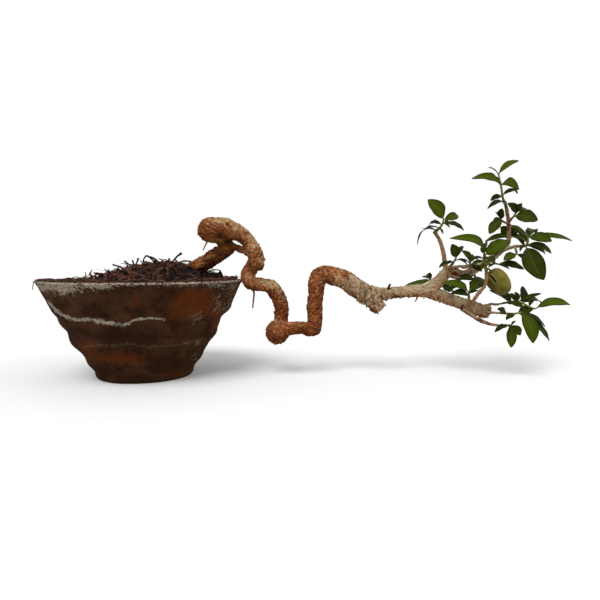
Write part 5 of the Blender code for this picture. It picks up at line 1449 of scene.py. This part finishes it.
# Bits of fibre along the rim: how far out they start, how long they are inside the rim and over it, their
# radius, the share of them that crosses the rim, and their tones
LITTER_START = (78, 93)
LITTER_REACH = (3, 11)
LITTER_REACH_OVER = (7, 13)
LITTER_RADIUS = (0.2, 0.55)
LITTER_OVER = 0.10
LITTER_TONES = (0.1, 0.3, 0.4, 0.5, 0.6, 0.7, 0.8)
LITTER_STEPS = 7


def strand_bundle(kind, count, draw):
    """Many strands of one kind as one mesh, each with its own tone."""
    whole = bmesh.new()
    for _ in range(count):
        line = strand_line(draw, kind)
        tone = draw.choice(kind["tones"])
        if len(line) > 3:
            strand = sweep(line, kind["sides"])
            mark(strand, "tone", tone * (DARK_SIDE_TONE if line[0][0].x > DARK_SIDE * MM else 1.0))
            gather(whole, strand)
    return as_mesh(whole, "strands")


def litter_bundle(count, draw):
    """Short bits of fibre along the inside of the rim, more of them at its ends, some over its lip."""
    whole = bmesh.new()
    for _ in range(count):
        angle = draw.choice((draw.uniform(0, math.tau), draw.gauss(math.pi, 0.5), draw.gauss(-0.4, 0.3)))
        out = draw.uniform(*LITTER_START)
        over = draw.random() < LITTER_OVER
        heading = angle + (draw.gauss(0.0, 0.5) if over else draw.gauss(math.pi / 2, 0.6))
        top = MAT_LEVEL + draw.uniform(0.4, 2.6)
        top += 1.6 if out > RIM_INSIDE else 0.0
        top += max(0.0, 2.4 * math.cos(angle))
        reach = draw.uniform(*(LITTER_REACH_OVER if over else LITTER_REACH))
        radius = draw.uniform(*LITTER_RADIUS) * MM
        x, y = out * math.cos(angle), out * math.sin(angle)
        line = []
        for _ in range(LITTER_STEPS + 1):
            away = math.hypot(x, y) / wobble(math.atan2(y, x))
            if away > RIM_RADIUS + 0.4:
                top -= 1.5 + draw.uniform(0, 0.8)
                heading += draw.gauss(0.0, 0.3)
            elif away > RIM_INSIDE:
                top = max(top, OVER_RIM)
            if away > DOWN_RIM:
                x, y = (c / away * DOWN_RIM for c in (x, y))
            line.append((Vector((x, y, top)) * MM, radius))
            heading += draw.gauss(0.0, 0.35)
            x += math.cos(heading) * reach / LITTER_STEPS
            y += math.sin(heading) * reach / LITTER_STEPS
        if len({tuple(place) for place, _ in line}) < len(line):
            continue
        bit = sweep(line, 5)
        mark(bit, "tone", draw.choice(LITTER_TONES))
        gather(whole, bit)
    return as_mesh(whole, "litter")


def chip_bundle(kind, count, draw):
    """Chips or crumbs scattered over the mat: lumps, squashed flat and turned any way."""
    whole = bmesh.new()
    for _ in range(count):
        x, y = on_heap(draw, kind["scatter"], kind["limit"])
        long = draw.uniform(*kind["size"])
        chip = bmesh.new()
        bmesh.ops.create_icosphere(chip, subdivisions=1, radius=1.0)
        wide, high = draw.uniform(*CHIP_WIDTH), draw.uniform(*kind["flat"])
        shape = Vector((long, long * wide, long * high)) * (0.5 * MM)
        for vertex in chip.verts:
            bulge = 1 + 0.35 * noise.noise(vertex.co * 1.7 + Vector((x, y, long)))
            vertex.co = Vector(c * s for c, s in zip(vertex.co, shape)) * bulge
        turn = turned(draw.uniform(0, math.tau), draw.gauss(0, 0.5))
        place = Vector((x, y, heap_level(x, y) + long * draw.uniform(0.0, 0.25) + 0.4)) * MM
        bmesh.ops.transform(chip, matrix=Matrix.Translation(place) @ turn, verts=chip.verts[:])
        golden = math.hypot(x - GOLDEN_SPOT[0], y - GOLDEN_SPOT[1]) < GOLDEN_REACH
        mark(chip, "tone", GOLDEN_TONE if golden and long > GOLDEN_SIZE else draw.choice(kind["tones"]))
        gather(whole, chip)
    return as_mesh(whole, "chips")


class BONSAI_OT_planting(bpy.types.Operator):
    """Finishes the soil and the screen, and heaps the root mat over them."""

    bl_idname = "bonsai.planting"
    bl_label = "Soil and Root Mat"

    def execute(self, context):
        sizes = context.scene.bonsai_planting
        fibre = fibre_finish(sizes)
        for node, finish in (("soil", soil_finish(sizes)), ("drain_screen", mesh_finish(sizes.screen))):
            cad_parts[node].data.materials.clear()
            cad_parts[node].data.materials.append(finish)
        add_piece("root_heap", heap_mesh(), [fibre], "root_mat")
        draw = random.Random(SEED)
        for name, kind in STRAND_KINDS.items():
            add_piece(f"mat_{name}", strand_bundle(kind, getattr(sizes, name), draw), [fibre])
        add_piece("mat_litter", litter_bundle(sizes.litter, draw), [fibre])
        whole = bmesh.new()
        for points in LOOSE_ROOTS:
            root = sweep(wood_line(points, 1.0), 7)
            roughen(root, 1.8, 0.3)
            mark(root, "tone", draw.choice((0.02, 0.1, 0.25)))
            gather(whole, root)
        add_piece("mat_loose_roots", as_mesh(whole, "loose_roots"), [fibre])
        for name, kind in CHIP_KINDS.items():
            mesh = chip_bundle(kind, getattr(sizes, name), draw)
            add_piece(f"mat_{name}", mesh, [fibre], crease=kind["crease"])
        return {"FINISHED"}


# The wood


def wood_line(points, spacing, spread=1.0):
    """Stations along a stretch of wood, about a spacing apart in millimetres."""
    return stations(drawn(points, spread), spacing * MM)


def grown_skin(lines, knobs, sides, grid, smoothing):
    """One tight skin over tubes along lines and round knobs, drawn on a grid and smoothed."""
    whole = bmesh.new()
    for line in lines:
        gather(whole, sweep(line, sides))
    for centre, radii in knobs:
        ball = bmesh.new()
        bmesh.ops.create_icosphere(ball, subdivisions=4, radius=1.0)
        for vertex in ball.verts:
            lump = 1.0 + 0.05 * noise.noise(vertex.co * 2.2)
            vertex.co = centre + Vector(c * r * lump * MM for c, r in zip(vertex.co, radii))
        gather(whole, ball)
    return shaped_by(as_mesh(whole, "skin"), [
        ("REMESH", {"mode": "VOXEL", "voxel_size": grid}),
        ("SMOOTH", {"factor": 0.5, "iterations": smoothing}),
    ])


class Guide:
    """Finds, for a place on the bark, how far along and round its limb it lies."""

    def __init__(self, lines):
        self.spots = []
        for line in lines:
            run = 0.0
            for n, matrix in enumerate(rings(line)):
                if n:
                    run += (line[n][0] - line[n - 1][0]).length
                self.spots.append((matrix.translation, matrix.to_quaternion().to_matrix().inverted(), run))
        self.tree = kdtree.KDTree(len(self.spots))
        for n, (centre, _, _) in enumerate(self.spots):
            self.tree.insert(centre, n)
        self.tree.balance()

    def along(self, place):
        """A point whose Z runs along the limb and whose X and Y run round it, in millimetres."""
        n = self.tree.find(place)[1]
        centre, turn, run = self.spots[n]
        own = turn @ (place - centre)
        return Vector((own.x, own.y, own.z + run)) / MM


def squeezed(place, across, along):
    """A point of a limb measured in a width across it and a length along it."""
    return Vector((place.x / across, place.y / across, place.z / along))


def dress_bark(mesh, guide, sizes, paleness, share=1.0, stringy=0.0):
    """Raises a share of the bark's lumps, wrinkles, plates and ridges, and paints its colours.

    All of it is at least a paleness pale. Stringy bark, as on twigs, has finer ridges that run straight.
    """
    places = vertex_places(mesh)
    points = drawing_places(places)
    marks = {name: covered(points, found) for name, found in WOOD_MARKS.items()}
    marks["pale"] = np.maximum(marks["pale"], paleness)
    cracked = np.minimum(1.0, marks["cracked"])
    marks["cracked"] = cracked
    reliefs = np.zeros(len(places))
    grain = np.zeros((len(places), 3))
    for n, spot in enumerate(places):
        place = Vector(spot) / MM
        own = guide.along(Vector(spot))
        rough = lumps(place, BARK_LUMPS)
        wound = Matrix.Rotation(SPIRAL * own.z, 3, "Z") @ own
        grain[n] = wound
        wrinkle = 1 - 2 * abs(noise.noise(squeezed(own, *WRINKLE_SIZE)))
        cell = squeezed(own, *PLATE_SIZE) + 0.3 * noise.noise_vector(place / 3.0)
        near, corners = noise.voronoi(cell, distance_metric="CHEBYCHEV")
        crack = smooth_step(0.0, 0.12, near[1] - near[0])
        tilt = noise.cell(corners[0] * 7.3) - 0.5
        plate = crack * (0.55 + 0.9 * tilt) - (1 - crack)
        height = sizes.rough * rough * (1 - 0.45 * cracked[n])
        height += sizes.wrinkle * wrinkle * (1 - 0.7 * cracked[n])
        height += sizes.plate * plate * cracked[n]
        ridge = stringy * noise.noise(squeezed(own, *TWIG_RIDGE_SIZE))
        ridge += (1 - stringy) * noise.noise(squeezed(wound, *RIDGE_SIZE))
        reliefs[n] = (height + sizes.rough * 1.6 * ridge) * share
    raise_skin(mesh, reliefs - 0.15 * share * MM)
    # How high the bark stands at each place; the colour darkens it where low, as painted shade
    paint(mesh, "relief", np.clip(0.5 + reliefs / (1.6 * share * MM), 0, 1))
    paint(mesh, "grain", grain.ravel(), "FLOAT_VECTOR")
    # How far each place faces up: the colour uses it for painted light from above and for moss on top
    paint(mesh, "top", vertex_normals(mesh)[:, 2])
    for name, values in marks.items():
        paint(mesh, name, values)


def flake_bundle(mesh, count, draw, share):
    """Loose flakes of bark, each lifted at one end, on a share of which the bark is rust brown."""
    whole = bmesh.new()
    pale = mesh.attributes["pale"].data
    cracked = mesh.attributes["cracked"].data
    total = len(mesh.vertices)
    made = 0
    while made < count:
        vertex = mesh.vertices[draw.randrange(total)]
        cover = pale[vertex.index].value
        split = cracked[vertex.index].value
        if draw.random() > share + max(split, 0.35 * cover):
            continue
        made += 1
        size = draw.uniform(*FLAKE_LENGTH), draw.uniform(*FLAKE_WIDTH)
        flake = bmesh.new()
        bmesh.ops.create_grid(flake, x_segments=2, y_segments=2, size=0.5)
        long, wide = (side * MM * (1 + 0.9 * split) for side in size)
        curl = draw.uniform(*FLAKE_CURL) * (1 + 0.5 * split)
        for corner in flake.verts:
            jag = 1 + 0.4 * noise.noise(corner.co * 3 + Vector((made, 0, 0)))
            lift = curl * (corner.co.y + 0.5) ** 2 * long
            corner.co = Vector((corner.co.x * wide * jag, corner.co.y * long * jag, lift))
        bmesh.ops.solidify(flake, geom=flake.faces[:], thickness=draw.uniform(*FLAKE_THICKNESS) * MM)
        turn = vertex.normal.to_track_quat("Z", "Y").to_matrix().to_4x4()
        turn = turn @ turned(draw.uniform(0, math.tau), draw.uniform(0.0, 0.35 + 0.3 * split))
        bmesh.ops.transform(flake, matrix=Matrix.Translation(vertex.co) @ turn, verts=flake.verts[:])
        mark(flake, "relief", draw.uniform(0.35, 0.9))
        mark(flake, "pale", cover * draw.uniform(0.5, 1.1))
        mark(flake, "warm", 0.5)
        gather(whole, flake)
    bmesh.ops.recalc_face_normals(whole, faces=whole.faces[:])
    return as_mesh(whole, "flakes")


class BONSAI_OT_trunk(bpy.types.Operator):
    """Grows the trunk from its roots through its loops and knots to the first fork."""

    bl_idname = "bonsai.trunk"
    bl_label = "Trunk"

    def execute(self, context):
        sizes = context.scene.bonsai_wood
        lines = [wood_line(points, LIMB_STEP) for name, points in MAIN_WOOD.items() if name not in OUTER_WOOD]
        for points in BURIED_ROOTS:
            path = [(Vector((x, y, z)) * MM, radius * MM) for x, y, z, radius in points]
            lines.append(stations(path, LIMB_STEP * MM))
        knobs = [(seen(*centre), radii) for centre, radii in KNOBS]
        mesh = grown_skin(lines, knobs, 20, sizes.trunk_grid, 4)
        dress_bark(mesh, Guide(lines), sizes, 0.0)
        bark = bark_finish(sizes)
        flakes = flake_bundle(mesh, sizes.flakes // 2, random.Random(SEED), 0.22)
        add_piece("trunk_wood", mesh, [bark], "trunk", crease=70)
        add_piece("trunk_flakes", flakes, [bark], crease=30)
        return {"FINISHED"}


class BONSAI_OT_branches(bpy.types.Operator):
    """Grows the long branch, its forks and the woody twigs."""

    bl_idname = "bonsai.branches"
    bl_label = "Branches and Twigs"

    def execute(self, context):
        sizes = context.scene.bonsai_wood
        limbs = [wood_line(MAIN_WOOD[name], LIMB_STEP) for name in OUTER_WOOD]
        twigs = [wood_line(points, TWIG_STEP, CROWN_SPREAD) for points in TWIGS.values()]
        twigs = [[(centre, radius * TWIG_GIRTH) for centre, radius in line] for line in twigs]
        bark = bpy.data.materials["rough_bark"]
        mesh = grown_skin(limbs, [], 20, sizes.branch_grid, 3)
        paint(mesh, "outer", np.ones(len(mesh.vertices)))
        dress_bark(mesh, Guide(limbs), sizes, 0.6, 0.75)
        flakes = flake_bundle(mesh, sizes.flakes // 3, random.Random(SEED + 1), 0.1)
        add_piece("branch_wood", mesh, [bark], crease=70)
        add_piece("branch_flakes", flakes, [bark], crease=30)
        mesh = grown_skin(twigs, [], 14, sizes.branch_grid * 0.8, 2)
        dress_bark(mesh, Guide(twigs), sizes, 0.65, 0.6, 1.0)
        points = drawing_places(vertex_places(mesh))
        paint(mesh, "pale", 1.0 - covered(points, RED_TWIG_MARKS))
        paint(mesh, "warm", np.full(len(points), 0.25))
        paint(mesh, "sprout", covered(points, SPROUT_MARKS))
        add_piece("twigs", mesh, [bark], crease=70)
        return {"FINISHED"}


class BONSAI_OT_air_roots(bpy.types.Operator):
    """Hangs the fine roots in the air from the wood."""

    bl_idname = "bonsai.air_roots"
    bl_label = "Roots in the Air"

    def execute(self, context):
        draw = random.Random(SEED)
        whole = bmesh.new()
        for points in AERIAL_ROOTS:
            root = sweep(wood_line(points, ROOT_STEP), 8)
            roughen(root, 3.0, 0.25)
            mark(root, "relief", 0.5)
            mark(root, "pale", draw.uniform(0.0, 0.4))
            mark(root, "dark", draw.uniform(0.35, 0.7))
            gather(whole, root)
        add_piece("air_roots", as_mesh(whole, "air_roots"), [bpy.data.materials["rough_bark"]])
        return {"FINISHED"}


# The leafy shoots


def blade_half(t):
    """Half width of a blade along its length, as a share of its widest."""
    if t <= STALK_SHARE:
        return 0.0
    share = (t - STALK_SHARE) / (1 - STALK_SHARE)
    return math.sin(math.pi * share ** BLADE_SKEW) ** BLADE_FULLNESS


class Blade:
    """One leaf: its stalk's root and tip, its half width, the way it faces, and how it bends."""

    def __init__(self, root, plan, sizes, draw):
        _, across, up, depth, width, face, self.arch, self.tone, self.bend = plan
        tip = seen(across, up, depth * CROWN_SPREAD)
        self.root = root
        self.half = width / 2 * MM * BLADE_WIDENING
        self.length = (tip - root).length
        self.along = (tip - root).normalized()
        toward = VIEW_POINT * MM - root
        toward = (toward - self.along * toward.dot(self.along)).normalized()
        above = self.along.cross(toward)
        if above.z < 0:
            above.negate()
        turn = math.radians(face)
        self.normal = toward * math.cos(turn) + above * math.sin(turn)
        self.side = self.normal.cross(self.along)
        self.fold = sizes.fold * draw.uniform(0.6, 1.3)
        self.wave = sizes.wave * draw.uniform(0.5, 1.5)
        self.thickness = sizes.thickness
        self.start = draw.uniform(0, math.tau)
        self.count = draw.uniform(2.2, 3.6)
        self.twist = draw.gauss(0.0, 0.12)
        self.tip_curl = draw.gauss(0.0, 0.25)

    def at(self, out, t, lift=0.0):
        """The place a share of the half width out and a share of the length along, lifted off the blade."""
        stalk = STALK_WIDTH / 2 * MM * (1 - STALK_NARROWING * t)
        half = max(stalk, self.half * blade_half(t))
        swing = self.start + self.count * math.tau * t
        edge = self.wave * self.half * out * out * math.sin(swing + (1.9 if out > 0 else 0.0))
        bow = 4 * t * (1 - t)
        rise = self.length * self.arch * bow + self.fold * abs(out) ** 1.3 * max(0.0, half - stalk) + edge
        rise += self.tip_curl * self.half * max(0.0, t - 0.72) ** 1.5 * 4
        rise += self.twist * math.sin(math.pi * t) * out * half
        sway = self.bend * self.length * bow
        across = self.side * (out * half + sway)
        return self.root + self.along * (t * self.length) + across + self.normal * (rise + lift)

    def mesh(self):
        """The blade as a thin bmesh, its upper face first, with its tone and its underside marked."""
        bm = bmesh.new()
        uv = bm.loops.layers.uv.new("leaf_uv")
        bmesh.ops.create_grid(bm, x_segments=BLADE_COLUMNS, y_segments=BLADE_ROWS, size=1.0, calc_uvs=True)
        for vertex in bm.verts:
            vertex.co = self.at(vertex.co.x, ((vertex.co.y + 1) / 2) ** BLADE_SKEW)
        mark(bm, "tone", self.tone)
        mark(bm, "under", 0.0)
        under = bm.verts.layers.float["under"]
        grown = bmesh.ops.extrude_face_region(bm, geom=bm.faces[:])["geom"]
        for vertex in grown:
            if isinstance(vertex, bmesh.types.BMVert):
                vertex[under] = 1.0
                vertex.co -= self.normal * self.thickness
        bmesh.ops.recalc_face_normals(bm, faces=bm.faces[:])
        return bm

    def rib(self):
        """The stalk and the midrib under the blade."""
        line = []
        for step in range(15):
            t = 0.94 * step / 14
            radius = (STALK_RADIUS if t < STALK_SHARE else RIB_RADIUS * (1 - t) + RIB_TIP_RADIUS) * MM
            line.append((self.at(0.0, t, -0.7 * self.thickness - 0.4 * radius), radius))
        bm = sweep(line, 6)
        mark(bm, "rib", 1.0)
        mark(bm, "under", 1.0)
        mark(bm, "tone", self.tone)
        return bm


def stem_line(name, plan):
    """Places and radii of a green stem, from a gap past its twig's end."""
    twig = drawn(TWIGS[name], CROWN_SPREAD)
    tip, radius = twig[-1]
    outward = (tip - on_path(twig, len(twig) - 1.15)[0]).normalized()
    start = [(tip + outward * (reach * MM), radius) for reach in (STEM_GAP, STEM_GAP + STEM_STUB)]
    return start + drawn(plan["stem"], CROWN_SPREAD)


def shoot_mesh(name, plan, sizes, draw):
    """A shoot with its leaves: the blades and ribs in the first material, the stem in the second."""
    whole = bmesh.new()
    whole.loops.layers.uv.new("leaf_uv")
    path = stem_line(name, plan)
    for leaf in plan["leaves"]:
        blade = Blade(on_path(path, leaf[0])[0], leaf, sizes, draw)
        gather(whole, blade.mesh())
        gather(whole, blade.rib())
    stem = sweep(stations(path, STEM_STEP * MM), 9)
    age = stem.verts.layers.float.new("age")
    for vertex in stem.verts:
        vertex[age] = smooth_step(16.0, 0.0, (vertex.co - path[0][0]).length / MM)
    roughen(stem, 1.6, 0.10)
    second_finish(stem)
    gather(whole, stem)
    for n in range(1, len(path) - 1):
        bud = bmesh.new()
        centre, radius = path[n]
        bmesh.ops.create_icosphere(bud, subdivisions=2, radius=radius * 1.25)
        bmesh.ops.scale(bud, vec=(1.0, 1.0, 0.8), verts=bud.verts[:])
        bmesh.ops.translate(bud, vec=centre, verts=bud.verts[:])
        mark(bud, "age", 0.45)
        second_finish(bud)
        gather(whole, bud)
    return as_mesh(whole, f"leaves_{name}")


class BONSAI_OT_shoots(bpy.types.Operator):
    """Grows the green shoots with their leaves from the twigs' ends."""

    bl_idname = "bonsai.shoots"
    bl_label = "Leafy Shoots"

    def execute(self, context):
        sizes = context.scene.bonsai_shoots
        finishes = [leaf_finish(sizes), stem_finish(sizes)]
        draw = random.Random(SEED)
        for name, plan in SHOOTS.items():
            mesh = shoot_mesh(name, plan, sizes, draw)
            add_piece(f"leaves_{name}", mesh, finishes, f"shoot_{name}", crease=75)
        return {"FINISHED"}


# The fruit


def fruit_mesh(centre, turn):
    """The fruit's skin, with three soft lobes, a dimple at each end and a sunken scar."""
    bm = bmesh.new()
    bmesh.ops.create_uvsphere(bm, u_segments=120, v_segments=80, radius=1.0)
    for vertex in bm.verts:
        angle = math.atan2(vertex.co.y, vertex.co.x)
        height = vertex.co.z
        lobe = 1.0 + FRUIT_LOBE_DEPTH * math.cos(FRUIT_LOBES * angle) * (1 - height * height)
        dimple = FRUIT_DIMPLES[height < 0] * math.exp((abs(height) - 1) / FRUIT_DIMPLE_SPREAD)
        girth = FRUIT_HALF_WIDTH * lobe * (1 + FRUIT_SHOULDER * height)
        level = (height - math.copysign(dimple, height)) * FRUIT_HALF_LENGTH
        place = Vector((vertex.co.x * girth, vertex.co.y * girth, level))
        place *= 1 + 0.006 * noise.noise(place / 5) + 0.003 * noise.noise(place / 1.6)
        vertex.co = centre + turn @ place * MM
    mesh = as_mesh(bm, "fruit_skin")
    places = vertex_places(mesh)
    points = drawing_places(places)
    front = places[:, 1] < centre.y
    near = np.where(front, beside(points, SCAR_LINE), 0.0)
    wide = np.where(front, beside(points, SCAR_LINE, 1.6), 0.0)
    # The scar, darkened as painted shade, and its lips, lightened as a painted highlight
    paint(mesh, "scar", near)
    paint(mesh, "lip", np.clip(wide * 2.2, 0, 1) * np.clip(1 - near * 1.6, 0, 1))
    # Painted shade on the fruit's lower left
    paint(mesh, "blush", covered(points, LOWER_LEFT_SHADE_MARKS))
    sunk = np.array([smooth_step(0.2, 0.9, value) for value in near])
    raise_skin(mesh, (SCAR_LIP * np.minimum(1.0, 2 * wide) - SCAR_DEPTH * sunk) * MM)
    return mesh


def sepal(centre, turn, angle):
    """One narrow sepal of the calyx, lying back over the fruit's shoulder."""
    bm = bmesh.new()
    bmesh.ops.create_grid(bm, x_segments=3, y_segments=5, size=0.5)
    out = Matrix.Rotation(angle, 3, "Z")
    for vertex in bm.verts:
        t = vertex.co.y + 0.5
        wide = 1.5 * (1 - t) ** 0.7 + 0.25
        reach = 0.9 + 4.2 * t
        level = FRUIT_HALF_LENGTH * 0.88 + 1.5 * t - 2.0 * t * t
        vertex.co = centre + turn @ (out @ Vector((reach, vertex.co.x * wide, level))) * MM
    bmesh.ops.solidify(bm, geom=bm.faces[:], thickness=SEPAL_THICKNESS * MM)
    bmesh.ops.recalc_face_normals(bm, faces=bm.faces[:])
    return bm


class BONSAI_OT_fruit(bpy.types.Operator):
    """Hangs the unripe fruit on its stalk."""

    bl_idname = "bonsai.fruit"
    bl_label = "Fruit"

    def execute(self, context):
        centre = seen(*FRUIT_PLACE[:2], FRUIT_PLACE[2] * CROWN_SPREAD)
        stalk_end = seen(*FRUIT_STALK_END[:2], FRUIT_STALK_END[2] * CROWN_SPREAD)
        axis = (stalk_end - centre).normalized()
        turn = axis.to_track_quat("Z", "Y").to_matrix()
        finish = fruit_finish(context.scene.bonsai_fruit)
        add_piece("fruit_skin", fruit_mesh(centre, turn), [finish], "fruit")
        stem = stem_line("fruit", {"stem": []})
        top = centre + axis * (FRUIT_HALF_LENGTH * 0.7 * MM)
        whole = sweep(stations([*stem, (stalk_end, 0.9 * MM), (top, 1.0 * MM)], ROOT_STEP * MM), 9)
        for n in range(SEPALS):
            gather(whole, sepal(centre, turn, math.tau * n / SEPALS))
        mark(whole, "age", 0.7)
        add_piece("fruit_stalk", as_mesh(whole, "stalk"), [bpy.data.materials["green_stem"]])
        return {"FINISHED"}


# The stage


class BONSAI_OT_stage(bpy.types.Operator):
    """Lays the plain floor, the soft studio light and the camera of the elevation drawing."""

    bl_idname = "bonsai.stage"
    bl_label = "Floor, Light and Camera"

    def execute(self, context):
        looks = context.scene.bonsai_stage
        scene = context.scene
        scene.view_settings.view_transform = "Standard"
        ground = Finish("floor", 0.9, 0.1)
        bm = bmesh.new()
        bmesh.ops.create_circle(bm, cap_ends=True, segments=96, radius=FLOOR_REACH)
        floor = bpy.data.objects.new("floor", as_mesh(bm, "floor"))
        scene.collection.objects.link(floor)
        floor.data.materials.append(ground.done(looks.floor))
        scene.world = bpy.data.worlds.new("studio")
        scene.world.use_nodes = True
        sky = scene.world.node_tree.nodes["Background"]
        sky.inputs["Color"].default_value = (1.0, 1.0, 1.0, 1.0)
        sky.inputs["Strength"].default_value = looks.sky
        for name, place in LAMPS.items():
            lamp = bpy.data.objects.new(name, bpy.data.lights.new(name, "SUN"))
            lamp.data.energy = getattr(looks, name)
            lamp.data.angle = math.radians(LAMP_WIDTH)
            lamp.location = place
            lamp.rotation_euler = Vector(place).to_track_quat("Z", "Y").to_euler()
            scene.collection.objects.link(lamp)
        eye = bpy.data.objects.new("camera", bpy.data.cameras.new("camera"))
        eye.data.sensor_width = SENSOR
        eye.data.lens = LENS
        eye.data.clip_start = 0.01
        eye.location = VIEW_POINT * MM
        eye.rotation_euler = (math.pi / 2 - VIEW_TILT, 0.0, 0.0)
        scene.collection.objects.link(eye)
        scene.camera = eye
        return {"FINISHED"}


class BONSAI_PT_bonsai(bpy.types.Panel):
    """Lists the pieces of the bonsai in the sidebar."""

    bl_label = "Bonsai"
    bl_idname = "BONSAI_PT_bonsai"
    bl_space_type = "VIEW_3D"
    bl_region_type = "UI"
    bl_category = "Bonsai"

    def draw(self, context):
        for operator in OPERATORS:
            self.layout.operator(operator.bl_idname)


GROUPS = {
    "bonsai_bowl": BonsaiBowl, "bonsai_planting": BonsaiPlanting, "bonsai_wood": BonsaiWood,
    "bonsai_shoots": BonsaiShoots, "bonsai_fruit": BonsaiFruit, "bonsai_stage": BonsaiStage,
}
OPERATORS = (
    BONSAI_OT_bowl, BONSAI_OT_planting, BONSAI_OT_trunk, BONSAI_OT_branches, BONSAI_OT_air_roots,
    BONSAI_OT_shoots, BONSAI_OT_fruit, BONSAI_OT_stage,
)


def register():
    noise.seed_set(SEED)  # noise_vector draws its offsets from this seed
    for group in GROUPS.values():
        bpy.utils.register_class(group)
    for name, group in GROUPS.items():
        setattr(bpy.types.Scene, name, PointerProperty(type=group))
    for made in (*OPERATORS, BONSAI_PT_bonsai):
        bpy.utils.register_class(made)


def unregister():
    for made in reversed((*OPERATORS, BONSAI_PT_bonsai)):
        bpy.utils.unregister_class(made)
    for name in GROUPS:
        delattr(bpy.types.Scene, name)
    for group in reversed(GROUPS.values()):
        bpy.utils.unregister_class(group)


def main():
    """Builds every piece in order."""
    register()
    for operator in OPERATORS:
        group, name = operator.bl_idname.split(".")
        getattr(getattr(bpy.ops, group), name)()


if __name__ == "__main__":
    main()
